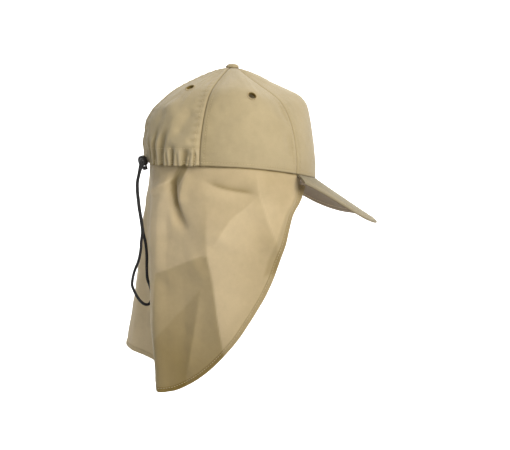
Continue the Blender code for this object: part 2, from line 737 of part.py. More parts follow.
def smooth_route(sections):
    """Points on one smooth curve through every section's points. Each section is spaced evenly at
    its own step, and the stretch between two sections at the cord's."""
    points = [point for section, _ in sections for point in section]
    knots = [2 * points[0] - points[1]] + points + [2 * points[-1] - points[-2]]
    fine = []
    for before, start, end, after in zip(knots, knots[1:], knots[2:], knots[3:]):
        for part in range(CURVE_PARTS):
            t = part / CURVE_PARTS
            fine.append(0.5 * (2 * start + (end - before) * t + (2 * before - 5 * start + 4 * end - after) * t ** 2
                               + (3 * start - before - 3 * end + after) * t ** 3))
    fine.append(points[-1])
    spaced, first = [points[0]], 0
    for number, (section, step) in enumerate(sections):
        last = first + len(section) - 1
        spaced.extend(evenly_along(fine[first * CURVE_PARTS:last * CURVE_PARTS + 1], step)[1:])
        if number < len(sections) - 1:
            between = fine[last * CURVE_PARTS:(last + 1) * CURVE_PARTS + 1]
            spaced.extend(evenly_along(between, CORD_POINT_STEP)[1:])
        first = last + 1
    return spaced


def evenly_along(line, step):
    """Points from one end of a line to the other, about a step apart."""
    lengths = [0.0]
    for start, end in zip(line, line[1:]):
        lengths.append(lengths[-1] + (end - start).length)
    count = max(1, round(lengths[-1] / step))
    spaced, index = [], 0
    for number in range(count + 1):
        wanted = lengths[-1] * number / count
        while index < len(line) - 2 and lengths[index + 1] < wanted:
            index += 1
        share = (wanted - lengths[index]) / (lengths[index + 1] - lengths[index])
        spaced.append(line[index].lerp(line[index + 1], share))
    return spaced


def cord_points():
    """The cord's whole route: casing, lock, loop, lock and casing again."""
    upper, lower = CORD_SPACING / 2, -CORD_SPACING / 2
    loop = [Vector((-row.back * HALF_LENGTH, -row.right * HALF_WIDTH, -row.down * CORD_DROP)) for row in CORD_ROWS]
    sections = (
        (strand_to_casing(upper), CORD_BEND_STEP),
        (strand_from_lock(upper), CORD_BEND_STEP),
        (loop, CORD_POINT_STEP),
        (strand_from_lock(lower)[::-1], CORD_BEND_STEP),
        (strand_to_casing(lower)[::-1], CORD_BEND_STEP),
    )
    return smooth_route(sections)


def drawcord(material):
    """The cord as a round tube along its route, with filled caps."""
    points = cord_points()
    data = bpy.data.curves.new("drawcord", "CURVE")
    data.dimensions = "3D"
    data.bevel_depth = CORD_DIAMETER / 2
    data.bevel_resolution = 2
    data.use_fill_caps = True
    spline = data.splines.new("POLY")
    spline.points.add(len(points) - 1)
    for knot, point in zip(spline.points, points):
        knot.co = (*point, 1.0)
    item = bpy.data.objects.new("drawcord", data)
    data.materials.append(material)
    bpy.context.scene.collection.objects.link(item)
    return item


def build():
    """Make every piece of the cap."""
    clear_scene()
    make_material("cutter", (1.0, 0.2, 0.2), 0.5)
    cloth = make_material("khaki_cloth", (0.50, 0.40, 0.24), 0.85)
    thread = make_material("khaki_thread", (0.44, 0.35, 0.20), 0.8)
    black = make_material("black_plastic", (0.012, 0.012, 0.013), 0.4)
    cord = make_material("black_cord", (0.012, 0.012, 0.013), 0.75)

    for side, mirrored in (("right", False), ("left", True)):
        def span(start, end):
            return (360.0 - end, 360.0 - start) if mirrored else (start, end)

        def place(turn):
            return 360.0 - turn if mirrored else turn

        crown_panel("crown_front_" + side, *span(0.0, FRONT_SEAM_TURN), 9, PLAIN_RISES, cloth)
        panel = crown_panel("crown_side_" + side, *span(FRONT_SEAM_TURN, BACK_SEAM_TURN), 11, PLAIN_RISES, cloth)
        eyelet("eyelet_side_" + side, panel, place(EYELET_SIDE_TURN), EYELET_SIDE_RISE, thread)
        panel = crown_panel("crown_back_" + side, *span(BACK_SEAM_TURN, 180.0), 24, GATHERED_RISES, cloth)
        eyelet("eyelet_back_" + side, panel, place(EYELET_BACK_TURN), EYELET_BACK_RISE, thread)
    cord_exit(bpy.data.objects["crown_back_left"])
    top_button(cloth)
    peak(cloth)
    neck_flap(cloth)
    cord_lock(black, black)
    drawcord(cord)


build()
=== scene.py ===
"""Neck flap cap: the dressed model of a khaki sun cap with a peak, a neck flap and a drawcord.

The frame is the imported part's own: +X the way the wearer faces, +Y the wearer's left, +Z up, with
the origin in the middle of the head opening. Places round the head are given as a turn, in degrees
from the front round the wearer's right side, so 90 is the right ear and 180 the middle of the back.
"""

from __future__ import annotations

import logging
import math
from dataclasses import dataclass, field
from enum import Enum
from typing import NamedTuple, Sequence

import bmesh
import bpy
import numpy as np
from mathutils import Matrix, Vector

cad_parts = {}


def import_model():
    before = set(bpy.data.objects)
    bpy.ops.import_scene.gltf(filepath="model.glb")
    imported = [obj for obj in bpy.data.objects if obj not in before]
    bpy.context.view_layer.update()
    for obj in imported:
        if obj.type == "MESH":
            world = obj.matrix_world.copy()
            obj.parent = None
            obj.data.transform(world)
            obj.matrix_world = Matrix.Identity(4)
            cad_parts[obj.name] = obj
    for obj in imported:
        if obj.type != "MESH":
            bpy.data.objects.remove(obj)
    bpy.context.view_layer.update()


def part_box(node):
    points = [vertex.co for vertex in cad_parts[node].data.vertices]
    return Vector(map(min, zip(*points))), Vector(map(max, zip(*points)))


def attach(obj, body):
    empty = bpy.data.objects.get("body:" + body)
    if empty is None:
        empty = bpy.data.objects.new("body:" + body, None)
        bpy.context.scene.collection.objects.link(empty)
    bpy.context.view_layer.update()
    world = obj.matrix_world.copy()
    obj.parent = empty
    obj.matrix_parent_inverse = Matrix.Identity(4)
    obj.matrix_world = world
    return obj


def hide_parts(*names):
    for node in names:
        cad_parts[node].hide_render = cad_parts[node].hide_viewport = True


Array = np.ndarray
Piece = bpy.types.Object
Socket = bpy.types.NodeSocket
LOG = logging.getLogger("neck_flap_cap")
PHOTO_WIDTH, PHOTO_HEIGHT = 510, 450
BODY = "cap"
PLUNGER_BODY = "plunger"
# Name of the mesh attribute that holds painted shade (painted light below zero), and the warmer tint that
# painted shade takes per channel.
SHADE = "shade"
WARM_SHADE = (0.98, 1.06, 1.36)
CLOTH_SHARP = 60.0
CREST = 0.06


class Side(Enum):
    """A side of the cap, with the sign of its Y."""

    RIGHT = -1
    LEFT = 1


class PanelKind(Enum):
    """The three kinds of crown panel, by where they sit."""

    FRONT = "front"
    SIDE = "side"
    BACK = "back"


# Smooth tables and noise


def smooth_through(places: Sequence[float], values: Sequence[float], at: Array,
                   level_ends: bool = False) -> Array:
    """Values on the smooth curve through a table, flat beyond its ends.

    Args:
        places: where the table's values lie, rising.
        values: the table's values.
        at: the places to read.
        level_ends: the curve is level at both ends, as on a mirrored shape.

    Returns:
        One value for each place asked for.
    """
    places, values = np.asarray(places, float), np.asarray(values, float)
    spans = np.diff(places)
    steps = np.diff(values) / spans
    slopes = np.zeros(len(values))
    same = steps[:-1] * steps[1:] > 0
    total = np.where(same, steps[:-1] + steps[1:], 1.0)
    slopes[1:-1] = np.where(same, 2 * steps[:-1] * steps[1:] / total, 0.0)
    if not level_ends:
        slopes[0], slopes[-1] = steps[0], steps[-1]
    at = np.clip(np.asarray(at, float), places[0], places[-1])
    index = np.clip(np.searchsorted(places, at, side="right") - 1, 0, len(spans) - 1)
    t = (at - places[index]) / spans[index]
    return (values[index] * (2 * t**3 - 3 * t**2 + 1)
            + slopes[index] * spans[index] * (t**3 - 2 * t**2 + t)
            + values[index + 1] * (3 * t**2 - 2 * t**3)
            + slopes[index + 1] * spans[index] * (t**3 - t**2))


def smooth_step(start: float, end: float, value: Array) -> Array:
    """0 before start, 1 after end and an even curve between them."""
    t = np.clip((np.asarray(value, float) - start) / (end - start), 0.0, 1.0)
    return t * t * (3 - 2 * t)


def ripple(u: Array, v: Array, size: float, seed: int) -> Array:
    """Soft random waves over a surface, from -1 to 1.

    Args:
        u: distance one way over the surface, in metres.
        v: distance the other way.
        size: the waves' typical length, in metres.
        seed: picks the waves.

    Returns:
        The waves' height at each point.
    """
    source = np.random.RandomState(seed)
    total = np.zeros(np.broadcast(u, v).shape)
    for _ in range(9):
        angle, phase = source.uniform(0, 2 * math.pi, 2)
        pitch = size * source.uniform(0.7, 1.5)
        across = (u * math.cos(angle) + v * math.sin(angle)) * 2 * math.pi / pitch
        total = total + np.sin(across + phase)
    return total / 4.0


def pulse(value: Array, middle: float, width: float) -> Array:
    """A smooth pulse: 1 where a value is at the middle, fading over the width."""
    return np.exp(-(((value - middle) / width) ** 2))


def near_turn(turn: Array) -> Array:
    """Turns on the wearer's left as the mirrored turns on the right."""
    return np.where(turn > 180, 360 - turn, turn)


def run_lengths(points: Array) -> Array:
    """How far along a line each of its points lies."""
    return np.concatenate([[0], np.cumsum(np.linalg.norm(np.diff(points, axis=0), axis=1))])


def rows_of(kind: type, rows: Sequence[Sequence[float]]) -> tuple:
    """A table's rows as the named tuples that they stand for."""
    return tuple(kind(*row) for row in rows)


# The cap's own shape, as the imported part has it


class CrownRow(NamedTuple):
    """Radius of the crown, as a share of the band's, at one share of the way up to the top."""

    rise: float
    front: float
    front_seam: float
    ear: float
    back_seam: float
    back: float


class FlapRow(NamedTuple):
    """The flap at one turn: its hem's drop as a share of the longest, and its stand-off as shares."""

    turn: float
    hem: float
    upper: float
    lower: float
    edge: float


class PeakRow(NamedTuple):
    """A point on the peak's edge, as shares of its half width and of its length."""

    across: float
    forward: float


class Crease(NamedTuple):
    """A fold or crease in cloth: its route, its height and how far each flank reaches.

    The flanks are the distances, in metres, over which it falls away on the left and on the right
    of its route, as one follows it. A sharp one has straight flanks and a narrow crest.
    """

    route: tuple[tuple[float, float], ...]
    height: float
    left: float
    right: float
    sharp: float


class ShadeLine(NamedTuple):
    """A fold's edge, with painted shade beside it, or painted light where a value is below zero: how much
    darker it is on the left and on the right of its route, as one follows it, and over what distances, in
    metres, that fades."""

    route: tuple[tuple[float, float], ...]
    left: float
    left_reach: float
    right: float
    right_reach: float


class ShadePatch(NamedTuple):
    """An area of cloth between folds with painted shade, or painted light where the depth is below zero:
    its corners, how much darker it is and how soft its edge is.
    """

    corners: tuple[tuple[float, float], ...]
    depth: float
    soft: float


@dataclass(frozen=True)
class CapShape:
    """Sizes and tables of the cap's form, in metres, and the surfaces that they give."""

    half_length: float = 0.098
    half_width: float = 0.080
    crown_top: float = 0.113
    wall: float = 0.002
    band_tilt: float = 0.110
    ear_arch: float = 0.0086
    front_seam: float = 57.0
    back_seam: float = 124.0
    gap: float = 0.0003
    flap_drop: float = 0.249
    flap_wall: float = 0.0012
    flap_tuck: float = 0.006
    flap_front: float = 50.8
    crown_rows: tuple[CrownRow, ...] = rows_of(CrownRow, (
        (0.00, 1.000, 1.000, 1.000, 1.025, 1.000), (0.12, 0.990, 1.000, 1.000, 1.020, 1.012),
        (0.25, 0.972, 0.982, 0.988, 0.990, 1.030), (0.40, 0.952, 0.940, 0.955, 0.930, 1.015),
        (0.55, 0.928, 0.860, 0.890, 0.850, 0.935), (0.66, 0.900, 0.760, 0.805, 0.765, 0.812),
        (0.74, 0.830, 0.620, 0.710, 0.665, 0.705), (0.80, 0.675, 0.480, 0.600, 0.555, 0.592),
        (0.86, 0.490, 0.340, 0.470, 0.420, 0.460), (0.92, 0.335, 0.210, 0.310, 0.275, 0.320),
        (0.97, 0.165, 0.110, 0.160, 0.145, 0.180), (1.00, 0.000, 0.000, 0.000, 0.000, 0.000),
    ))
    flap_rows: tuple[FlapRow, ...] = rows_of(FlapRow, (
        (50.8, 0.072, 0.980, 1.012, 1.042), (56.0, 0.135, 0.990, 1.022, 1.045),
        (62.0, 0.190, 1.015, 1.035, 1.040), (70.0, 0.330, 1.020, 1.040, 1.045),
        (80.0, 0.510, 1.025, 1.035, 1.020), (92.0, 0.650, 1.020, 1.010, 0.975),
        (106.0, 0.780, 1.010, 0.975, 0.930), (122.0, 0.885, 0.995, 0.945, 0.905),
        (138.0, 0.955, 0.985, 0.950, 0.925), (150.0, 0.990, 1.004, 1.022, 0.992),
        (159.0, 1.000, 1.071, 1.102, 1.074), (169.0, 0.955, 1.050, 1.036, 1.008),
        (180.0, 0.905, 0.985, 0.960, 0.960), (190.0, 0.885, 1.010, 1.020, 1.080),
        (200.0, 0.872, 1.085, 1.180, 1.280), (209.0, 0.862, 1.100, 1.250, 1.390),
        (220.0, 0.850, 1.050, 1.140, 1.230), (234.0, 0.820, 1.000, 1.030, 1.060),
        (250.0, 0.760, 1.000, 0.990, 0.980), (266.0, 0.655, 1.015, 1.000, 0.980),
        (280.0, 0.500, 1.020, 1.030, 1.020), (290.0, 0.330, 1.020, 1.040, 1.045),
        (298.0, 0.190, 1.015, 1.035, 1.040), (304.0, 0.135, 0.990, 1.022, 1.045),
        (309.2, 0.072, 0.980, 1.012, 1.042),
    ))

    @property
    def mean_radius(self) -> float:
        """Mean radius of the band."""
        return (self.half_length + self.half_width) / 2

    def plan(self, turn: Array, share: Array) -> tuple[Array, Array]:
        """Place in plan at a turn and a share of the way out to the band."""
        angle = np.radians(turn)
        return self.half_length * share * np.cos(angle), -self.half_width * share * np.sin(angle)

    def band_height(self, turn: Array) -> Array:
        """Height of the crown's bottom edge at a turn."""
        angle = np.radians(turn)
        arch = self.ear_arch * (np.sin(angle) ** 2 - 0.5)
        return arch - self.band_tilt * self.half_length * np.cos(angle)

    def outward(self, turn: Array) -> Array:
        """Level directions straight out of the band, one row of three for each turn."""
        angle = np.radians(turn)
        flat = np.stack([np.cos(angle) / self.half_length, -np.sin(angle) / self.half_width,
                         np.zeros_like(angle)], axis=-1)
        return flat / np.linalg.norm(flat, axis=-1, keepdims=True)

    def crown_share(self, turn: Array, rise: Array) -> Array:
        """Radius of the crown as a share of the band's, at each turn and share of its height."""
        turn, rise = np.broadcast_arrays(np.asarray(turn, float), np.asarray(rise, float))
        half_turn = np.abs((turn + 180.0) % 360.0 - 180.0)
        turns = (0.0, self.front_seam, 90.0, self.back_seam, 180.0)
        rises = [row.rise for row in self.crown_rows]
        columns = [smooth_through(rises, [row[i] for row in self.crown_rows], rise.ravel())
                   for i in range(1, len(CrownRow._fields))]
        table = np.stack(columns, axis=-1)
        found = [smooth_through(turns, line, np.array([place]), True)[0]
                 for line, place in zip(table, half_turn.ravel())]
        return np.array(found).reshape(turn.shape)

    def crown(self, turn: Array, rise: Array) -> Array:
        """Points on the crown's smooth outer face."""
        x, y = self.plan(turn, self.crown_share(turn, rise))
        edge = self.band_height(turn)
        return np.stack([x, y, edge + (self.crown_top - edge) * rise], axis=-1)

    def flap_hem(self, turn: Array) -> Array:
        """Height of the flap's hem at a turn."""
        turns, hems = [row.turn for row in self.flap_rows], [row.hem for row in self.flap_rows]
        return -self.flap_drop * smooth_through(turns, hems, turn)

    def flap(self, turn: Array, height: Array) -> Array:
        """Points on the hanging flap's smooth outer face, at each turn and height."""
        turns = [row.turn for row in self.flap_rows]
        upper, lower, edge = (smooth_through(turns, [row[i] for row in self.flap_rows], turn)
                              for i in (2, 3, 4))
        top, hem = self.band_height(turn), self.flap_hem(turn)
        drop = np.clip((top - height) / (top - hem), 0.0, 1.0)
        start = 1 - (self.wall + self.gap) / self.mean_radius
        low = drop * 3
        first, second, third = upper - start, lower - upper, edge - lower

        def joined(before: Array, after: Array) -> Array:
            """Slope where two spans meet, level where the curve turns back."""
            product = 2 * before * after
            onward = product > 0
            return np.where(onward, product / np.where(onward, before + after, 1.0), 0.0)

        def part(t: Array, a: Array, b: Array, sa: Array, sb: Array) -> Array:
            """One span of the smooth curve down the flap."""
            return (a * (2 * t**3 - 3 * t**2 + 1) + sa * (t**3 - 2 * t**2 + t)
                    + b * (3 * t**2 - 2 * t**3) + sb * (t**3 - t**2))

        slope_a, slope_b = joined(first, second), joined(second, third)
        share = np.where(low < 1, part(low, start, upper, first, slope_a),
                         np.where(low < 2, part(low - 1, upper, lower, slope_a, slope_b),
                                  part(low - 2, lower, edge, slope_b, third)))
        x, y = self.plan(turn, share)
        return np.stack([x, y, height], axis=-1)


SHAPE = CapShape()


# Meshes from grids


def grid_normals(points: Array) -> Array:
    """Unit normals of a grid of points, from the differences along its rows and columns."""
    down = np.gradient(points, axis=0)
    along = np.gradient(points, axis=1)
    normal = np.cross(along, down)
    length = np.linalg.norm(normal, axis=-1, keepdims=True)
    return normal / np.maximum(length, 1e-12)


def facing_out(points: Array, turn: Array) -> Array:
    """Unit normals of a face round the head, turned so that they point away from it."""
    normal = grid_normals(points)
    return -normal if np.mean(np.sum(normal * SHAPE.outward(turn), axis=-1)) < 0 else normal


def set_shade(mesh: bpy.types.Mesh, tones: Array) -> None:
    """Keep the painted shade of each point of a mesh, how much darker it is (lighter below zero), for its
    finish to read.
    """
    attribute = mesh.attributes.new(SHADE, "FLOAT", "POINT")
    attribute.data.foreach_set("value", tones.astype(np.float32))


def put_in_scene(name: str, data: bpy.types.ID) -> Piece:
    """Make an object of a mesh, lamp or camera and put it in the scene."""
    piece = bpy.data.objects.new(name, data)
    bpy.context.scene.collection.objects.link(piece)
    return piece


def loft(form: bmesh.types.BMesh, rings: Sequence[Sequence[bmesh.types.BMVert]]
         ) -> list[bmesh.types.BMFace]:
    """Join rings of points into a closed form, and give the faces between the rings."""
    faces = []
    for low, high in zip(rings, rings[1:]):
        for step in range(len(low)):
            after = (step + 1) % len(low)
            faces.append(form.faces.new((low[step], low[after], high[after], high[step])))
    form.faces.new(rings[0][::-1])
    form.faces.new(rings[-1])
    return faces


def mesh_of(name: str, form: bmesh.types.BMesh, material: bpy.types.Material | None = None,
            smooth: bool = True) -> bpy.types.Mesh:
    """Make a mesh of a form, with its faces outward, and free the form."""
    bmesh.ops.recalc_face_normals(form, faces=form.faces)
    mesh = bpy.data.meshes.new(name)
    form.to_mesh(mesh)
    form.free()
    if smooth:
        mesh.shade_smooth()
    if material is not None:
        mesh.materials.append(material)
    return mesh


def cloth_wall(name: str, outer: Array, inner: Array, uv: Array,
               materials: Sequence[bpy.types.Material], shade: Array | None = None
               ) -> Piece:
    """Build a closed cloth wall from the grids of its two faces.

    Args:
        name: the piece's name.
        outer: rows by columns of points on the outer face.
        inner: the same for the inner face.
        uv: rows by columns of places on the cloth, in metres.
        materials: the outer face's finish, then the inner face's where it differs.
        shade: the outer face's painted shade at each point, how much darker it is, where it isn't even.

    Returns:
        The finished object, with the cloth's places as its UV map.
    """
    rows, columns = outer.shape[:2]
    count = rows * columns
    index = np.arange(count).reshape(rows, columns)
    corners = [index[:-1, :-1], index[:-1, 1:], index[1:, 1:], index[1:, :-1]]
    quads = np.stack(corners, axis=-1).reshape(-1, 4)
    rim = np.concatenate([index[0, :], index[1:, -1], index[-1, -2::-1], index[-2:0:-1, 0]])
    after = np.roll(rim, -1)
    sides = np.stack([after, rim, rim + count, after + count], axis=-1)
    faces = np.concatenate([quads, quads[:, ::-1] + count, sides])
    points = np.concatenate([outer.reshape(-1, 3), inner.reshape(-1, 3)])
    mesh = bpy.data.meshes.new(name)
    mesh.from_pydata(points.tolist(), [], faces.tolist())
    layer = mesh.uv_layers.new(name="cloth")
    places = np.concatenate([uv.reshape(-1, 2)] * 2)
    layer.data.foreach_set("uv", places[faces.ravel()].astype(np.float32).ravel())
    if shade is not None:
        set_shade(mesh, np.concatenate([shade.ravel(), np.zeros(count)]))
    for material in materials:
        mesh.materials.append(material)
    if len(materials) > 1:
        slots = np.zeros(len(faces), dtype=np.int32)
        slots[len(quads):2 * len(quads)] = 1
        mesh.polygons.foreach_set("material_index", slots)
    form = bmesh.new()
    form.from_mesh(mesh)
    bmesh.ops.recalc_face_normals(form, faces=form.faces)
    form.to_mesh(mesh)
    form.free()
    mesh.shade_smooth()
    mesh.set_sharp_from_angle(angle=math.radians(CLOTH_SHARP))
    return put_in_scene(name, mesh)


def turned(name: str, profile: Sequence[tuple[float, float]], place: Matrix, material: bpy.types.Material,
           segments: int = 48, widen: float = 1.0, sharp: float = 35.0) -> Piece:
    """Turn a profile of (radius, height) points about +Z of a place into a closed piece.

    Args:
        name: the piece's name.
        profile: points from the bottom to the top; a radius of 0 is a pole.
        place: where the piece's own frame lies.
        material: its finish.
        segments: how many facets go round it.
        widen: how much wider it is along its own Y.
        sharp: faces that meet at more than this many degrees keep a crisp edge.

    Returns:
        The finished object.
    """
    form = bmesh.new()
    rings = []
    for radius, height in profile:
        if radius == 0:
            rings.append([form.verts.new(place @ Vector((0, 0, height)))])
            continue
        angles = [2 * math.pi * step / segments for step in range(segments)]
        points = [Vector((radius * math.cos(a), widen * radius * math.sin(a), height)) for a in angles]
        rings.append([form.verts.new(place @ point) for point in points])
    pairs = list(zip(rings, rings[1:]))
    if profile[0][0] > 0:
        pairs.append((rings[-1], rings[0]))
    for low, high in pairs:
        for step in range(segments):
            after = (step + 1) % segments
            corners = [low[step % len(low)], low[after % len(low)],
                       high[after % len(high)], high[step % len(high)]]
            form.faces.new(list(dict.fromkeys(corners)))
    mesh = mesh_of(name, form, material)
    mesh.set_sharp_from_angle(angle=math.radians(sharp))
    return put_in_scene(name, mesh)


def settle(piece: Piece) -> Piece:
    """Turn a piece with modifiers into a plain mesh and drop the modifiers."""
    graph = bpy.context.evaluated_depsgraph_get()
    mesh = bpy.data.meshes.new_from_object(piece.evaluated_get(graph))
    mesh.name = piece.name
    piece.modifiers.clear()
    piece.data = mesh
    return piece


def cut_away(piece: Piece, cutters: Sequence[Piece]) -> Piece:
    """Cut other objects out of a piece, and remove them."""
    for cutter in cutters:
        modifier = piece.modifiers.new("cut", "BOOLEAN")
        modifier.operation = "DIFFERENCE"
        modifier.solver = "EXACT"
        modifier.object = cutter
    settle(piece)
    for cutter in cutters:
        bpy.data.objects.remove(cutter, do_unlink=True)
    return piece


# Finishes


class NodeSketch:
    """A material's node tree, with short calls for the nodes that the finishes share."""

    def __init__(self, name: str) -> None:
        """Start a material with a plain Principled shader."""
        self.material = bpy.data.materials.new(name)
        self.material.use_nodes = True
        self.tree = self.material.node_tree
        self.shader = self.tree.nodes["Principled BSDF"]

    def add(self, kind: str, **settings: object) -> bpy.types.Node:
        """Add a node and set its properties."""
        node = self.tree.nodes.new(kind)
        for key, value in settings.items():
            setattr(node, key, value)
        return node

    def link(self, source: Socket, target: Socket) -> None:
        """Join two sockets."""
        self.tree.links.new(source, target)

    def surface(self, values: dict[str, float]) -> None:
        """Set plain values on the shader's own sockets."""
        for name, value in values.items():
            self.shader.inputs[name].default_value = value

    def math(self, operation: str, first: object, second: object = 0.0) -> Socket:
        """Add a Math node on sockets or numbers, and give its result."""
        node = self.add("ShaderNodeMath", operation=operation)
        for socket, value in zip(node.inputs, (first, second)):
            if isinstance(value, Socket):
                self.link(value, socket)
            else:
                socket.default_value = value
        return node.outputs[0]

    def mixed(self, *parts: tuple[Socket, float]) -> Socket:
        """Add up greys, each times its own share."""
        total, *others = [self.math("MULTIPLY", grey, share) for grey, share in parts]
        for other in others:
            total = self.math("ADD", total, other)
        return total

    def wave(self, place: Socket, pitch: float) -> Socket:
        """A sine wave over a distance, from -1 to 1."""
        return self.math("SINE", self.math("MULTIPLY", place, 2 * math.pi / pitch))

    def cloth_place(self) -> tuple[Socket, Socket]:
        """Distances across and along the cloth, from its own UV map."""
        split = self.add("ShaderNodeSeparateXYZ")
        self.link(self.add("ShaderNodeUVMap", uv_map="cloth").outputs["UV"], split.inputs[0])
        return split.outputs["X"], split.outputs["Y"]

    def noise(self, vector: Socket, scale: float, detail: float = 3.0,
              roughness: float = 0.55) -> Socket:
        """Add a noise texture and give its grey value."""
        node = self.add("ShaderNodeTexNoise")
        node.inputs["Scale"].default_value = scale
        node.inputs["Detail"].default_value = detail
        node.inputs["Roughness"].default_value = roughness
        self.link(vector, node.inputs["Vector"])
        return node.outputs["Fac"]

    def ramp(self, value: Socket, stops: Sequence[tuple[float, tuple[float, float, float]]]
             ) -> Socket:
        """Add a colour ramp through (place, colour) stops, and give its colour."""
        node = self.add("ShaderNodeValToRGB")
        while len(node.color_ramp.elements) < len(stops):
            node.color_ramp.elements.new(0.5)
        for element, (place, colour) in zip(node.color_ramp.elements, stops):
            element.position = place
            element.color = (*colour, 1.0)
        self.link(value, node.inputs["Fac"])
        return node.outputs["Color"]

    def toned(self, colour: Socket) -> Socket:
        """Darken a colour by the painted shade kept on the mesh, which turns warmer as it deepens; below
        zero it lightens as painted light.
        """
        warmth = self.add("ShaderNodeVectorMath", operation="SCALE")
        warmth.inputs[0].default_value = WARM_SHADE
        shade = self.add("ShaderNodeAttribute", attribute_name=SHADE).outputs["Fac"]
        self.link(shade, warmth.inputs["Scale"])
        left = self.add("ShaderNodeVectorMath", operation="SUBTRACT")
        left.inputs[0].default_value = (1.0, 1.0, 1.0)
        self.link(warmth.outputs["Vector"], left.inputs[1])
        result = self.add("ShaderNodeVectorMath", operation="MULTIPLY")
        self.link(colour, result.inputs[0])
        self.link(left.outputs["Vector"], result.inputs[1])
        return result.outputs["Vector"]

    def bump(self, height: Socket, distance: float, strength: float = 1.0,
             normal: Socket | None = None) -> Socket:
        """Add a bump of a height in metres, on top of another normal where one is given."""
        node = self.add("ShaderNodeBump")
        node.inputs["Distance"].default_value = distance
        node.inputs["Strength"].default_value = strength
        self.link(height, node.inputs["Height"])
        if normal is not None:
            self.link(normal, node.inputs["Normal"])
        return node.outputs["Normal"]


@dataclass(frozen=True)
class TwillFinish:
    """Brushed cotton twill: fine diagonal ribs, slubs, uneven dye and a soft fuzz."""

    name: str
    colour: tuple[float, float, float]
    rib_pitch: float = 0.0009
    rib_depth: float = 0.00011
    contrast: float = 0.09
    roughness: float = 0.88
    sheen: float = 0.30

    def material(self) -> bpy.types.Material:
        """Build the material on the cloth's own UV map, in metres."""
        sketch = NodeSketch(self.name)
        place = sketch.add("ShaderNodeTexCoord").outputs["Object"]
        across, along = sketch.cloth_place()
        rib = sketch.wave(sketch.mixed((across, 0.5), (along, 0.87)), self.rib_pitch)
        weave = sketch.mixed((rib, 0.5), (sketch.wave(across, self.rib_pitch * 0.55), 0.22))
        slub = sketch.noise(place, 900.0, 2.0)
        dye = sketch.noise(place, 26.0, 4.0, 0.6)
        wash = sketch.noise(place, 150.0, 3.0, 0.6)
        crumple = sketch.noise(place, 70.0, 3.0, 0.5)
        tone = sketch.mixed((dye, 0.55), (wash, 0.30), (slub, 0.15))
        dark = tuple(channel * (1 - self.contrast) for channel in self.colour)
        light = tuple(min(1.0, channel * (1 + self.contrast)) for channel in self.colour)
        colour = sketch.ramp(tone, ((0.30, dark), (0.70, light)))
        sketch.link(sketch.toned(colour), sketch.shader.inputs["Base Color"])
        sketch.surface({"Roughness": self.roughness, "Specular IOR Level": 0.18, "Sheen Weight": self.sheen,
                        "Sheen Roughness": 0.5})
        broad = sketch.bump(crumple, 0.0011, 0.35)
        fine = sketch.bump(weave, self.rib_depth, 0.8, broad)
        sketch.link(sketch.bump(slub, 0.00012, 0.5, fine), sketch.shader.inputs["Normal"])
        return sketch.material


@dataclass(frozen=True)
class ThreadFinish:
    """Spun sewing thread: close diagonal strands with a slight lustre."""

    name: str
    colour: tuple[float, float, float]
    strand: float = 2600.0

    def material(self) -> bpy.types.Material:
        """Build the material on Object coordinates."""
        sketch = NodeSketch(self.name)
        place = sketch.add("ShaderNodeTexCoord").outputs["Object"]
        grain = sketch.noise(place, self.strand, 2.0)
        tone = sketch.noise(place, 60.0, 2.0)
        dark = tuple(channel * 0.82 for channel in self.colour)
        light = tuple(min(1.0, channel * 1.12) for channel in self.colour)
        colour = sketch.ramp(sketch.mixed((grain, 0.5), (tone, 0.5)), ((0.32, dark), (0.68, light)))
        sketch.link(sketch.toned(colour), sketch.shader.inputs["Base Color"])
        sketch.surface({"Roughness": 0.62, "Specular IOR Level": 0.3})
        sketch.link(sketch.bump(grain, 0.00008, 0.7), sketch.shader.inputs["Normal"])
        return sketch.material


@dataclass(frozen=True)
class BraidFinish:
    """The woven cover of an elastic cord, on a UV map of metres round and along it."""

    name: str
    colour: tuple[float, float, float]
    pitch: float = 0.0018

    def material(self) -> bpy.types.Material:
        """Build two crossed sets of strands."""
        sketch = NodeSketch(self.name)
        round_it, along = sketch.cloth_place()
        strands = [sketch.wave(sketch.math(way, round_it, along), self.pitch)
                   for way in ("ADD", "SUBTRACT")]
        braid = sketch.math("MAXIMUM", *strands)
        place = sketch.add("ShaderNodeTexCoord").outputs["Object"]
        fuzz = sketch.noise(place, 1800.0, 2.0)
        tone = sketch.mixed((braid, 0.25), (fuzz, 0.6))
        dark = tuple(channel * 0.45 for channel in self.colour)
        light = tuple(channel * 1.7 for channel in self.colour)
        sketch.link(sketch.ramp(tone, ((0.20, dark), (0.75, light))), sketch.shader.inputs["Base Color"])
        sketch.surface({"Roughness": 0.8, "Sheen Weight": 0.15})
        sketch.link(sketch.bump(braid, 0.00022, 0.8), sketch.shader.inputs["Normal"])
        return sketch.material


@dataclass(frozen=True)
class MouldedFinish:
    """Moulded plastic with a fine spark-eroded texture and light handling marks."""

    name: str
    colour: tuple[float, float, float]
    roughness: float = 0.38

    def material(self) -> bpy.types.Material:
        """Build the material on Object coordinates."""
        sketch = NodeSketch(self.name)
        place = sketch.add("ShaderNodeTexCoord").outputs["Object"]
        grain = sketch.noise(place, 2200.0, 2.0)
        marks = sketch.noise(place, 240.0, 4.0, 0.7)
        light = tuple(min(1.0, channel * 1.8) for channel in self.colour)
        colour = sketch.ramp(marks, ((0.35, self.colour), (0.75, light)))
        sketch.link(colour, sketch.shader.inputs["Base Color"])
        rough = sketch.add("ShaderNodeMapRange")
        rough.inputs["To Min"].default_value = self.roughness - 0.08
        rough.inputs["To Max"].default_value = self.roughness + 0.14
        sketch.link(marks, rough.inputs["Value"])
        sketch.link(rough.outputs["Result"], sketch.shader.inputs["Roughness"])
        sketch.link(sketch.bump(grain, 0.00004, 0.6), sketch.shader.inputs["Normal"])
        return sketch.material


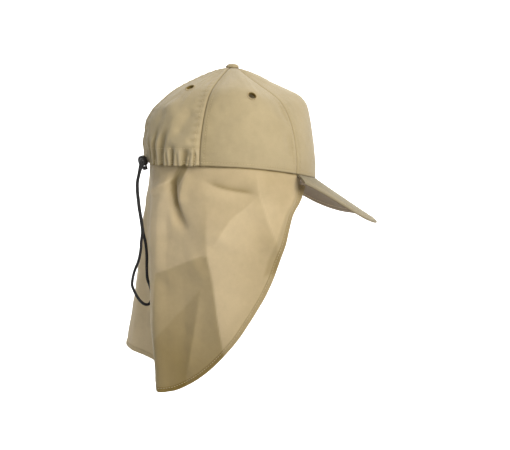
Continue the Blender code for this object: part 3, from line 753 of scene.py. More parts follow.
@dataclass
class Finishes:
    """Every material of the cap, built once."""

    crown: bpy.types.Material = field(init=False)
    flap: bpy.types.Material = field(init=False)
    peak: bpy.types.Material = field(init=False)
    under: bpy.types.Material = field(init=False)
    lining: bpy.types.Material = field(init=False)
    thread: bpy.types.Material = field(init=False)
    plastic: bpy.types.Material = field(init=False)
    cord: bpy.types.Material = field(init=False)

    def __post_init__(self) -> None:
        """Build the materials."""
        # One khaki twill in several tones: the flap is a lighter copy as painted light; the peak, its
        # underside and the inside are darker copies as painted shade.
        self.crown = TwillFinish("khaki_twill_crown", (0.450, 0.366, 0.216)).material()
        self.flap = TwillFinish("khaki_twill_flap", (0.548, 0.434, 0.257)).material()
        self.peak = TwillFinish("khaki_twill_peak", (0.264, 0.222, 0.137), sheen=0.15).material()
        self.under = TwillFinish("khaki_twill_under", (0.146, 0.104, 0.056), sheen=0.15).material()
        self.lining = TwillFinish("khaki_twill_inside", (0.250, 0.202, 0.118), contrast=0.06).material()
        self.thread = ThreadFinish("khaki_thread", (0.540, 0.435, 0.260)).material()
        self.plastic = MouldedFinish("black_moulded", (0.010, 0.010, 0.011)).material()
        self.cord = BraidFinish("black_braid", (0.012, 0.012, 0.014)).material()


# Stitching


@dataclass
class StitchRows:
    """Rows of lock stitches laid along routes on the cloth, made with Geometry Nodes."""

    material: bpy.types.Material
    pitch: float = 0.0030
    length: float = 0.0023
    radius: float = 0.00030
    sides: int = 6
    routes: list[tuple[Array, Array]] = field(default_factory=list)

    def add(self, points: Array, normals: Array) -> None:
        """Add a row along points on the cloth, with the cloth's outward direction at each."""
        self.routes.append((np.asarray(points), np.asarray(normals)))

    def stitch_mesh(self, name: str) -> Piece:
        """One stitch: a short thread that rises out of the cloth and sinks back in."""
        form = bmesh.new()
        rings = []
        angles = [2 * math.pi * step / self.sides for step in range(self.sides)]
        for share, size, lift in ((-0.5, 0.35, -0.9), (-0.32, 0.95, 0.1), (0.0, 1.0, 0.55),
                                  (0.32, 0.95, 0.1), (0.5, 0.35, -0.9)):
            rings.append([form.verts.new((share * self.length, size * self.radius * math.cos(angle),
                                          self.radius * (lift + size * math.sin(angle))))
                          for angle in angles])
        loft(form, rings)
        return put_in_scene(name, mesh_of(name, form))

    def tree(self, name: str, stitch: Piece) -> bpy.types.NodeTree:
        """Node tree that lays a stitch at each pitch along the routes and realizes them."""
        tree = bpy.data.node_groups.new(name, "GeometryNodeTree")
        for socket, way, kind in (("Geometry", "INPUT", "Geometry"), ("Pitch", "INPUT", "Float"),
                                  ("Geometry", "OUTPUT", "Geometry")):
            tree.interface.new_socket(socket, in_out=way, socket_type=f"NodeSocket{kind}")
        nodes = tree.nodes
        entry, result = nodes.new("NodeGroupInput"), nodes.new("NodeGroupOutput")
        curve = nodes.new("GeometryNodeMeshToCurve")
        resample = nodes.new("GeometryNodeResampleCurve")
        resample.mode = "LENGTH"
        facing = nodes.new("GeometryNodeInputNamedAttribute")
        facing.data_type = "FLOAT_VECTOR"
        facing.inputs["Name"].default_value = "cloth_out"
        tangent = nodes.new("GeometryNodeInputTangent")
        upright = nodes.new("FunctionNodeAlignRotationToVector")
        upright.axis = "Z"
        forward = nodes.new("FunctionNodeAlignRotationToVector")
        forward.axis, forward.pivot_axis = "X", "Z"
        info = nodes.new("GeometryNodeObjectInfo")
        info.inputs["Object"].default_value = stitch
        place = nodes.new("GeometryNodeInstanceOnPoints")
        realize = nodes.new("GeometryNodeRealizeInstances")
        finish = nodes.new("GeometryNodeSetMaterial")
        finish.inputs["Material"].default_value = self.material
        for source, given, target, taken in (
                (entry, "Geometry", curve, "Mesh"), (curve, "Curve", resample, "Curve"),
                (entry, "Pitch", resample, "Length"), (resample, "Curve", place, "Points"),
                (facing, "Attribute", upright, "Vector"), (upright, "Rotation", forward, "Rotation"),
                (tangent, "Tangent", forward, "Vector"), (forward, "Rotation", place, "Rotation"),
                (info, "Geometry", place, "Instance"), (place, "Instances", realize, "Geometry"),
                (realize, "Geometry", finish, "Geometry"), (finish, "Geometry", result, "Geometry")):
            tree.links.new(source.outputs[given], target.inputs[taken])
        return tree

    def build(self, name: str) -> Piece:
        """Sew every row, as one plain mesh."""
        points, edges, facing = [], [], []
        for route, normals in self.routes:
            first = len(points)
            points.extend(route.tolist())
            facing.extend(normals.tolist())
            edges.extend((first + step, first + step + 1) for step in range(len(route) - 1))
        mesh = bpy.data.meshes.new(name)
        mesh.from_pydata(points, edges, [])
        attribute = mesh.attributes.new("cloth_out", "FLOAT_VECTOR", "POINT")
        attribute.data.foreach_set("vector", np.asarray(facing, dtype=np.float32).ravel())
        piece = put_in_scene(name, mesh)
        stitch = self.stitch_mesh(name + "_stitch")
        modifier = piece.modifiers.new("sew", "NODES")
        modifier.node_group = self.tree(name + "_rows", stitch)
        pitch = next(item for item in modifier.node_group.interface.items_tree if item.name == "Pitch")
        modifier[pitch.identifier] = self.pitch
        settle(piece)
        bpy.data.objects.remove(stitch, do_unlink=True)
        if not piece.data.materials:
            piece.data.materials.append(self.material)
        return piece


@dataclass
class ClothGrid:
    """A cloth's face as a grid of points, which can be read between its rows and columns."""

    points: Array
    normals: Array

    def read(self, rows: Array, columns: Array) -> tuple[Array, Array]:
        """Points and outward directions at places given in rows and columns of the grid.

        Args:
            rows: row numbers, with fractions.
            columns: column numbers, with fractions.

        Returns:
            The points and the unit directions.
        """
        height, width = self.points.shape[:2]
        rows = np.clip(rows, 0, height - 1.001)
        columns = np.clip(columns, 0, width - 1.001)
        r, c = rows.astype(int), columns.astype(int)
        a, b = (rows - r)[:, None], (columns - c)[:, None]

        def blend(grid: Array) -> Array:
            """Weigh the four corners of each cell."""
            return ((1 - a) * (1 - b) * grid[r, c] + (1 - a) * b * grid[r, c + 1]
                    + a * (1 - b) * grid[r + 1, c] + a * b * grid[r + 1, c + 1])

        normals = blend(self.normals)
        return blend(self.points), normals / np.linalg.norm(normals, axis=-1, keepdims=True)


def crease_height(creases: Sequence[Crease], across: Array, up: Array,
                  scale: float) -> Array:
    """Height of a set of creases over a cloth.

    Args:
        creases: the creases, with their routes in (turn, height) pairs, heights in millimetres.
        across: each point's turn, in degrees.
        up: each point's height, in metres.
        scale: metres round the cap for one radian of turn.

    Returns:
        How far each point stands out, in metres.
    """
    total = np.zeros(across.shape)
    for crease in creases:
        distance, side, along, length = from_route(crease.route, across, up, scale)
        t = distance / np.where(side > 0, crease.left, crease.right)
        soft = np.exp(-2.2 * t * t)
        tent = np.clip(1 + CREST - np.sqrt(t * t + CREST * CREST), 0.0, 1.0)
        tent = tent * tent * (1.6 - 0.6 * tent)
        shape = crease.sharp * tent + (1 - crease.sharp) * soft
        total += crease.height * shape * end_fade(along, length, 0.22)
    return total


def end_fade(along: Array, length: float, share: float) -> Array:
    """How far a route's effect has grown from its two ends, over a share of its length."""
    fade = share * length
    return smooth_step(-0.2 * fade, fade, along) * smooth_step(-0.2 * fade, fade, length - along)


def beside(start: Array, run: Array, x: Array, z: Array
           ) -> tuple[Array, Array, Array]:
    """Where points lie beside a straight run: the share along it, and the way to it in x and z."""
    t = np.clip(((x - start[0]) * run[0] + (z - start[1]) * run[1]) / float(np.dot(run, run)), 0.0, 1.0)
    return t, x - (start[0] + run[0] * t), z - (start[1] + run[1] * t)


def from_route(route: Sequence[tuple[float, float]], across: Array, up: Array,
               scale: float) -> tuple[Array, Array, Array, float]:
    """Where points of a cloth lie beside a route over it.

    Args:
        route: (turn, height) pairs, in degrees and millimetres.
        across: each point's turn, in degrees.
        up: each point's height, in metres.
        scale: metres round the cap for one radian of turn.

    Returns:
        Each point's distance from the route, its side (1 left, -1 right), how far along the route
        it is nearest to, and the route's length.
    """
    x, z = np.radians(across) * scale, up
    line = smooth_line(np.array([(math.radians(t) * scale, h / 1000.0) for t, h in route]), 8)
    lengths = run_lengths(line)
    best = np.full(across.shape, 1e9)
    side, along = np.ones(across.shape), np.zeros(across.shape)
    for start, end, first in zip(line, line[1:], lengths):
        run = end - start
        t, dx, dz = beside(start, run, x, z)
        distance = np.hypot(dx, dz)
        nearer = distance < best
        best = np.where(nearer, distance, best)
        side = np.where(nearer, np.where(run[0] * dz - run[1] * dx > 0, 1.0, -1.0), side)
        along = np.where(nearer, first + t * math.sqrt(float(np.dot(run, run))), along)
    return best, side, along, float(lengths[-1])


def fold_shade(lines: Sequence[ShadeLine], patches: Sequence[ShadePatch], across: Array,
               up: Array, scale: float) -> Array:
    """The painted shade of a folded cloth at each point, from its folds' edges and the areas between.

    Args:
        lines: the folds' edges.
        patches: the areas between folds.
        across: each point's turn, in degrees.
        up: each point's height, in metres.
        scale: metres round the cap for one radian of turn.

    Returns:
        How much of the cloth's own tone is taken away as painted shade at each point; below zero it is
        painted light.
    """
    total = np.zeros(across.shape)
    for line in lines:
        distance, side, along, length = from_route(line.route, across, up, scale)
        reach = np.where(side > 0, line.left_reach, line.right_reach)
        depth = line.right + (line.left - line.right) * smooth_step(-0.0010, 0.0010, distance * side)
        total += depth * pulse(distance, 0.0, reach) * end_fade(along, length, 0.25)
    x, z = np.radians(across) * scale, up
    for patch in patches:
        corners = np.array([(math.radians(t) * scale, h / 1000.0) for t, h in patch.corners])
        inside = np.zeros(across.shape, dtype=bool)
        best = np.full(across.shape, 1e9)
        for start, end in zip(corners, np.roll(corners, -1, axis=0)):
            run = end - start
            _, dx, dz = beside(start, run, x, z)
            best = np.minimum(best, np.hypot(dx, dz))
            if start[1] != end[1]:
                crosses = (start[1] > z) != (end[1] > z)
                inside ^= crosses & (x < start[0] + run[0] * (z - start[1]) / run[1])
        total += patch.depth * smooth_step(-patch.soft, patch.soft, np.where(inside, best, -best))
    return total


def smooth_line(points: Array, parts: int) -> Array:
    """Points on the smooth curve through a route's own points.

    Args:
        points: the route's points, in two or three dimensions.
        parts: how many steps each stretch gets.

    Returns:
        The curve's points.
    """
    knots = np.vstack([2 * points[0] - points[1], points, 2 * points[-1] - points[-2]])
    line = []
    for before, start, end, after in zip(knots, knots[1:], knots[2:], knots[3:]):
        for step in range(parts):
            t = step / parts
            line.append(0.5 * (2 * start + (end - before) * t
                               + (2 * before - 5 * start + 4 * end - after) * t**2
                               + (3 * start - before - 3 * end + after) * t**3))
    line.append(points[-1])
    return np.array(line)


def dense_near_ends(count: int, ends: Sequence[float]) -> Array:
    """Shares from 0 to 1: the given ones near each end and count even ones between them."""
    middle = np.linspace(ends[-1], 1 - ends[-1], count)[1:-1]
    return np.concatenate([np.asarray(ends), middle, 1 - np.asarray(ends)[::-1]])


# The crown


class Tuck(NamedTuple):
    """A tuck between two gathers of the casing: its turn at the band and where it runs out, its
    half width in degrees, its depth as a share of the gathers' height and how far up it runs."""

    turn: float
    top_turn: float
    half_width: float
    depth: float
    end_rise: float


@dataclass
class Crown:
    """Six cloth panels, their seams, the gathered casing, the button and the vent eyelets."""

    finishes: Finishes
    seam_dip: float = 0.0013
    seam_width: float = 0.0006
    # seam_shade is the painted shade in each seam's line.
    seam_shade: float = 0.35
    seam_row: float = 0.0050
    row_dip: float = 0.00022
    pucker_pitch: float = 0.0074
    pucker_place: float = 0.0066
    pucker_width: float = 0.0036
    pucker_height: float = 0.00045
    panel_bow: float = 0.0009
    panel_top: float = 0.992
    edge_dip: float = 0.00025
    row_width: float = 0.0007
    # row_shade to hole_shade: painted shade along the stitch rows and the edge row, a painted shadow under
    # the rim, and painted shade in the puckers and inside the eyelet holes.
    row_shade: float = 0.10
    edge_shade: float = 0.12
    rim_shade: float = 0.45
    pucker_shade: float = 0.11
    hole_shade: float = 0.68
    allowance: float = 0.0066
    allowance_lift: float = 0.00024
    casing_rise: float = 0.17
    edge_row: float = 0.0042
    eyelet_hole: float = 0.0040
    eyelet_size: float = 0.0059
    eyelets: tuple[tuple[PanelKind, float, float], ...] = (
        (PanelKind.SIDE, 87.0, 0.70), (PanelKind.BACK, 152.0, 0.772))
    button_radius: float = 0.0075
    button_lap: float = 0.0004
    gather: float = 0.0030
    edge_wave: float = 0.0011
    tucks: tuple[Tuck, ...] = rows_of(Tuck, (
        (125.6, 126.2, 0.5, 0.55, 0.17), (127.6, 127.0, 0.8, 0.85, 0.20),
        (131.3, 129.6, 0.8, 0.50, 0.18), (134.6, 132.6, 2.3, 1.15, 0.21),
        (138.8, 139.8, 0.8, 0.40, 0.17), (143.6, 142.6, 1.7, 1.10, 0.23),
        (147.4, 148.4, 0.9, 0.50, 0.18), (153.4, 150.6, 2.9, 1.25, 0.46),
        (158.0, 159.0, 0.9, 0.50, 0.20), (162.4, 158.8, 2.3, 1.10, 0.50),
        (166.0, 167.0, 1.0, 0.50, 0.22), (169.8, 167.6, 2.0, 1.05, 0.34),
        (174.4, 174.6, 1.4, 0.55, 0.22),
    ))
    dents: tuple[Crease, ...] = rows_of(Crease, (
        (((98, 50), (84, 44), (70, 47)), -0.0012, 0.016, 0.012, 0.2),
        (((116, 30), (104, 38), (92, 60)), 0.0010, 0.014, 0.018, 0.2),
        (((70, 12), (80, 20), (88, 38)), 0.0009, 0.012, 0.016, 0.2),
        (((150, 30), (146, 46), (140, 62)), 0.0012, 0.011, 0.013, 0.2),
        (((166, 32), (162, 50), (156, 64)), -0.0012, 0.010, 0.012, 0.2),
        (((133, 66), (137, 56), (142, 38)), -0.0022, 0.009, 0.013, 0.3),
        (((130, 34), (136, 30), (146, 32)), 0.0016, 0.008, 0.010, 0.3),
        (((160, 72), (150, 62), (144, 50)), 0.0018, 0.012, 0.012, 0.2),
        (((118, 70), (108, 60), (94, 56)), -0.0014, 0.010, 0.014, 0.3),
        (((64, 14), (62, 26), (66, 40)), -0.0016, 0.007, 0.009, 0.3),
        (((46, 30), (34, 40), (20, 38)), -0.0007, 0.016, 0.020, 0.1),
    ))
    stitches: StitchRows = field(init=False)

    def __post_init__(self) -> None:
        """Start the crown's rows of stitches."""
        self.stitches = StitchRows(self.finishes.thread)

    def tuck_depth(self, turn: Array, rise: Array) -> Array:
        """How deep into the tucks between the gathers each point lies, from 0."""
        near = near_turn(turn)
        wander = np.where(turn > 180, 1.2 * np.sin(near * 0.31), 0.0)
        depth = np.zeros(near.shape)
        for tuck in self.tucks:
            lift = np.clip(rise / tuck.end_rise, 0, 1)
            middle = tuck.turn + (tuck.top_turn - tuck.turn) * lift + wander
            across = np.abs(near - middle) / (tuck.half_width * (1 + 0.7 * lift))
            valley = np.clip(1.15 - np.sqrt(across**2 + 0.0225), 0, 1)
            fade = 1 - smooth_step(0.55, 1.0, lift)
            depth = np.maximum(depth, tuck.depth * fade * valley * valley * (3 - 2 * valley))
        return depth

    def tuck_shade(self, turn: Array, rise: Array) -> Array:
        """Painted shade in the tucks between the gathers and along the casing's top stitches, with painted
        highlights on the gathers' crests.
        """
        deep = np.clip(self.tuck_depth(turn, rise), 0, 1)
        crests = (1 - deep) ** 3 * (1 - smooth_step(self.casing_rise - 0.03, self.casing_rise + 0.02, rise))
        return 0.30 * deep**1.5 - 0.14 * crests + 0.04 * pulse(rise, self.casing_rise, 0.005)

    def gather_height(self, turn: Array, rise: Array) -> Array:
        """How far the gathered cloth at the back stands out, in metres."""
        near = near_turn(turn)
        puff = smooth_step(SHAPE.back_seam, SHAPE.back_seam + 4.0, near)
        puff *= smooth_step(4.0, 14.0, 180.0 - near)
        puff *= 1.0 - smooth_step(self.casing_rise, 0.42, rise)
        depth = self.tuck_depth(turn, rise)
        groove = 0.00035 * pulse(rise, self.casing_rise, 0.008) * smooth_step(125.0, 128.0, near)
        return np.maximum(self.gather * puff * (1 - depth), -0.0003) - groove * np.clip(puff * 3, 0.2, 1)

    def panel(self, kind: PanelKind, side: Side) -> Piece:
        """Build one panel of cloth between two seams.

        Args:
            kind: which of the three panels of its side.
            side: the wearer's right or left.

        Returns:
            The panel, which stands for its CAD node.
        """
        start, end = {PanelKind.FRONT: (0.0, SHAPE.front_seam),
                      PanelKind.SIDE: (SHAPE.front_seam, SHAPE.back_seam),
                      PanelKind.BACK: (SHAPE.back_seam, 180.0)}[kind]
        if side is Side.LEFT:
            start, end = 360.0 - end, 360.0 - start
        width = math.radians(end - start) * SHAPE.mean_radius
        near_seam = np.array([0.0, 0.0002, 0.0005, 0.0009, 0.0014, 0.0022, 0.0034, 0.0048, 0.0060,
                              0.0072, 0.0090]) / width
        columns = dense_near_ends(56 if kind is PanelKind.BACK else 34, near_seam)
        rises = np.concatenate([[0.0, 0.004, 0.012, 0.022, 0.034, 0.046], np.linspace(0.06, 0.22, 18),
                                np.linspace(0.23, self.panel_top, 52)])
        turns = start + (end - start) * columns
        turn, rise = np.meshgrid(turns, rises)
        base = SHAPE.crown(turn, rise)
        normal = facing_out(base, turn)
        if kind is PanelKind.BACK:
            wave = self.gather_height(turn[:1], rise[3:4]) / self.gather - 0.5
            base[..., 2] -= self.edge_wave * wave * (1 - smooth_step(0.0, 0.12, rise))
        local = np.linalg.norm(np.diff(base, axis=1), axis=-1).sum(axis=1)[:, None]
        from_seam = np.minimum(columns, 1 - columns)[None, :] * local
        height = base[..., 2]
        steps = np.linalg.norm(np.diff(base, axis=0), axis=-1)
        upward = np.cumsum(np.r_[[np.zeros(len(columns))], steps], axis=0)
        out = -self.seam_dip * pulse(from_seam, 0.0, self.seam_width)
        band = smooth_step(0.0008, 0.0022, from_seam)
        band *= 1 - smooth_step(self.allowance - 0.0006, self.allowance + 0.0009, from_seam)
        out += self.allowance_lift * band
        out -= self.row_dip * pulse(from_seam, self.seam_row, self.row_width)
        pucker = np.sin(upward * 2 * math.pi / self.pucker_pitch + 1.3 * np.sin(upward * 90.0))
        pucker *= pulse(from_seam, self.pucker_place, self.pucker_width)
        pucker *= smooth_step(0.05, 0.25, rise) if kind is PanelKind.BACK else 0.3
        out += self.pucker_height * pucker
        bow = self.panel_bow * np.sin(np.pi * columns)[None, :] * smooth_step(0.05, 0.3, rise)
        out += bow * (1 - smooth_step(0.75, 0.97, rise))
        along = np.radians(turn) * SHAPE.mean_radius
        soft = 0.45 if kind is PanelKind.FRONT else 1.5
        calm = smooth_step(0.0, 0.010, from_seam) * (1 - smooth_step(0.90, 0.985, rise))
        waves = 0.00042 * ripple(along, height, 0.045, 11) + 0.00018 * ripple(along, height, 0.017, 12)
        out += soft * calm * waves
        mirrored = near_turn(turn)
        out += calm * crease_height(self.dents, mirrored, height, SHAPE.mean_radius)
        if kind is PanelKind.BACK:
            beside_side = np.where(mirrored < 150, from_seam, 1.0)
            out += self.gather_height(turn, rise) * smooth_step(0.0, 0.0022, beside_side)
        out -= 0.0008 * (1 - smooth_step(0.0, 0.0012, upward)) ** 2
        out -= self.edge_dip * pulse(upward, self.edge_row, self.row_width)
        outer = base + normal * out[..., None]
        inner = base + normal * (out[..., None] * 0.55 - SHAPE.wall)
        inner[0] = outer[0] - normal[0] * (SHAPE.wall - 0.0007)
        uv = np.stack([along, upward], axis=-1)
        name = f"crown_{kind.value}_{side.name.lower()}"
        # Painted shade in the seams, the stitch rows and the edge row, a painted shadow under the rim and,
        # on the back panels, in the tucks and puckers with painted highlights on the crests; the side
        # panels get painted shade towards the back seam and painted light by the ear.
        shade = self.seam_shade * pulse(from_seam, 0.0, 0.0005) * np.where(mirrored < 90, 0.45, 1.0)
        shade += self.row_shade * pulse(from_seam, self.seam_row, 0.0006)
        shade += self.edge_shade * pulse(upward, self.edge_row, 0.0006)
        shade += self.rim_shade * pulse(upward, 0.0, 0.0009)
        if kind is PanelKind.BACK:
            shade += self.tuck_shade(turn, rise) + self.pucker_shade * np.clip(-pucker, -0.4, 1.0)
        if kind is PanelKind.SIDE:
            shade += 0.12 * pulse(mirrored, SHAPE.back_seam, 9) - 0.04 * pulse(mirrored, 85, 15)
        faces = (self.finishes.crown, self.finishes.lining)
        piece = cloth_wall(f"{name}_cloth", outer, inner, uv, faces, shade)
        grid = ClothGrid(outer, facing_out(outer, turn))
        self.sew_panel(kind, grid, turns, rises, local[:, 0], upward)
        for eyelet_kind, place, share in self.eyelets:
            if eyelet_kind is kind:
                cut_away(piece, [self.eyelet_hole_cutter(side, place, share)])
        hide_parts(name)
        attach(piece, BODY)
        LOG.info("panel %s: %d faces", piece.name, len(piece.data.polygons))
        return piece

    def sew_panel(self, kind: PanelKind, grid: ClothGrid, turns: Array, rises: Array,
                  widths: Array, upward: Array) -> None:
        """Add the topstitching beside a panel's two seams, along its edge and over its casing."""
        places = np.arange(len(turns))
        shares = (turns - turns[0]) / (turns[-1] - turns[0])
        rows = np.linspace(0.4, len(rises) - 3, 260)
        width = np.interp(rows, np.arange(len(widths)), widths)
        for from_end in (False, True):
            share = np.clip(self.seam_row / width, 0.0, 0.48)
            share = 1 - share if from_end else share
            self.stitches.add(*grid.read(rows, np.interp(share, shares, places)))
        columns = np.linspace(0.0, len(turns) - 1.01, 200)
        numbers = np.arange(len(rises))
        levels = [np.interp(self.edge_row, upward.mean(axis=1), numbers)]
        if kind is PanelKind.BACK:
            levels.append(np.interp(self.casing_rise, rises, numbers))
        for level in levels:
            self.stitches.add(*grid.read(np.full(len(columns), float(level)), columns))

    def crown_frame(self, side: Side, turn: float, rise: float) -> Matrix:
        """Frame on a panel's outer face, with +Z straight out of the cloth."""
        turn = 360.0 - turn if side is Side.LEFT else turn
        turns, rises = np.meshgrid([turn - 1, turn, turn + 1], [rise - 0.01, rise, rise + 0.01])
        points = SHAPE.crown(turns, rises)
        normal = grid_normals(points)[1, 1]
        if normal[2] < 0:
            normal = -normal
        turn_out = Vector(normal).to_track_quat("Z", "Y").to_matrix().to_4x4()
        return Matrix.Translation(Vector(points[1, 1])) @ turn_out

    def eyelet_hole_cutter(self, side: Side, turn: float, rise: float) -> Piece:
        """Cylinder that opens a panel for an eyelet."""
        radius = (self.eyelet_hole + self.eyelet_size) / 2
        profile = [(0, -0.008), (radius, -0.008), (radius, 0.008), (0, 0.008)]
        place = self.crown_frame(side, turn, rise)
        return turned("eyelet_cutter", profile, place, self.finishes.thread, 32)

    def eyelet(self, kind: PanelKind, side: Side, turn: float, rise: float) -> Piece:
        """Sew one eyelet: close threads that wrap from the hole over the cloth's edge."""
        place = self.crown_frame(side, turn, rise)
        hole, size = self.eyelet_hole, self.eyelet_size
        middle = (hole + size) / 2
        profile = []
        for step in range(13):
            angle = math.pi * (1 - step / 12)
            radius = middle + (size - hole) / 2 * math.cos(angle)
            profile.append((radius, 0.0002 + 0.0006 * math.sin(angle)))
        profile += [(middle + 0.0004, 0.0002), (middle - 0.0003, -SHAPE.wall), (hole, -SHAPE.wall)]
        name = f"eyelet_{kind.value}_{side.name.lower()}"
        ring = turned(f"{name}_core", profile, place, self.finishes.thread, 48)
        threads = self.wrap_threads(f"{name}_sewn", place)
        join = bmesh.new()
        for item in (ring, threads):
            join.from_mesh(item.data)
        mesh = bpy.data.meshes.new(f"{name}_sewn")
        join.to_mesh(mesh)
        join.free()
        mesh.materials.append(self.finishes.thread)
        # Painted shade inside the hole and on the threads below the cloth's face.
        local = np.array([place.inverted() @ vertex.co for vertex in mesh.vertices])
        inward = 1 - smooth_step(hole, hole + 0.0007, np.hypot(local[:, 0], local[:, 1]))
        dark = self.hole_shade * np.maximum(inward, 1 - smooth_step(-0.0004, 0.0001, local[:, 2]))
        set_shade(mesh, dark)
        for item in (ring, threads):
            bpy.data.objects.remove(item, do_unlink=True)
        piece = put_in_scene(f"{name}_sewn", mesh)
        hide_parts(name)
        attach(piece, BODY)
        return piece

    def wrap_threads(self, name: str, place: Matrix, count: int = 60) -> Piece:
        """Threads that run from the hole over the rim, one after another round the eyelet."""
        form = bmesh.new()
        source = np.random.RandomState(5)
        middle = (self.eyelet_hole + self.eyelet_size) / 2
        half = (self.eyelet_size - self.eyelet_hole) / 2
        thread, sides = 0.00026, 5
        for number in range(count):
            around = 2 * math.pi * (number + source.uniform(-0.12, 0.12)) / count
            reach = half * source.uniform(0.98, 1.10)
            spin = Matrix.Rotation(around, 4, "Z")
            rings = []
            for step in range(7):
                angle = math.pi * (1.06 - 1.12 * step / 6)
                centre = Vector((middle + reach * math.cos(angle), 0, 0.0002 + 0.0007 * math.sin(angle)))
                outward = Vector((math.cos(angle), 0, math.sin(angle)))
                ring = []
                for corner in range(sides):
                    turn = 2 * math.pi * corner / sides
                    offset = outward * (thread * math.cos(turn)) + Vector((0, thread * math.sin(turn), 0))
                    ring.append(form.verts.new(place @ spin @ (centre + offset)))
                rings.append(ring)
            loft(form, rings)
        return put_in_scene(name, mesh_of(name, form))

    def button(self) -> Piece:
        """The covered button: cloth drawn over a low dome, with soft tucks at its rim."""
        low, high = (Vector(corner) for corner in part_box("top_button"))
        base = low.z
        radius, rise = self.button_radius, high.z - base
        rows, columns = 20, 64
        outer = np.zeros((rows, columns + 1, 3))
        for r in range(rows):
            angle = math.pi / 2 * (1 - r / (rows - 1))
            for c in range(columns + 1):
                turn = 2 * math.pi * c / columns
                tuck = 1 - 0.025 * (1 - math.sin(angle)) * (0.5 + 0.5 * math.cos(9 * turn))
                reach = max(0.0003, radius * math.cos(angle)) * (tuck if r else 1)
                level = base + rise * (0.22 + 0.78 * math.sin(angle))
                outer[r, c] = (reach * math.cos(turn), reach * math.sin(turn), level)
        skirt = outer[-1:].copy()
        skirt[..., :2] *= 0.985
        skirt[..., 2] = base - self.button_lap
        lip = skirt * (0.80, 0.80, 1.0) + (0.0, 0.0, 0.0005)
        outer = np.concatenate([outer, skirt, lip])
        form = bmesh.new()
        uv = form.loops.layers.uv.new("cloth")
        grid = [[form.verts.new(outer[r, c]) for c in range(columns)] for r in range(len(outer))]
        for above, below in zip(grid, grid[1:]):
            for c in range(columns):
                after = (c + 1) % columns
                form.faces.new((above[c], above[after], below[after], below[c]))
        form.faces.new(grid[0])
        form.faces.new(grid[-1][::-1])
        for face in form.faces:
            for loop in face.loops:
                loop[uv].uv = (loop.vert.co.x, loop.vert.co.y)
        name = "top_button_cloth"
        piece = put_in_scene(name, mesh_of(name, form, self.finishes.crown))
        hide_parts("top_button")
        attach(piece, BODY)
        return piece

    def build(self) -> None:
        """Build every piece of the crown."""
        for side in Side:
            for kind in PanelKind:
                self.panel(kind, side)
            for kind, turn, rise in self.eyelets:
                piece = self.eyelet(kind, side, turn, rise)
                LOG.info("eyelet %s", piece.name)
        self.button()
        sewn = self.stitches.build("crown_topstitching")
        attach(sewn, BODY)
        LOG.info("crown stitches: %d faces", len(sewn.data.polygons))


# The neck flap


DARK_FOLD = ((137, 16), (141, 2), (145.5, -9), (146, -20), (142, -45), (134, -62))
SWAG = ((123, -7), (116, -13), (105, -18), (96, -20.5), (88, -24))
FRONT_FOLD = ((88, 3), (87, -23), (81, -56), (76, -78), (72, -96))
FACET_EDGE = ((120, -50), (120, -70), (119.5, -92), (116.5, -114), (114, -159), (110, -203))


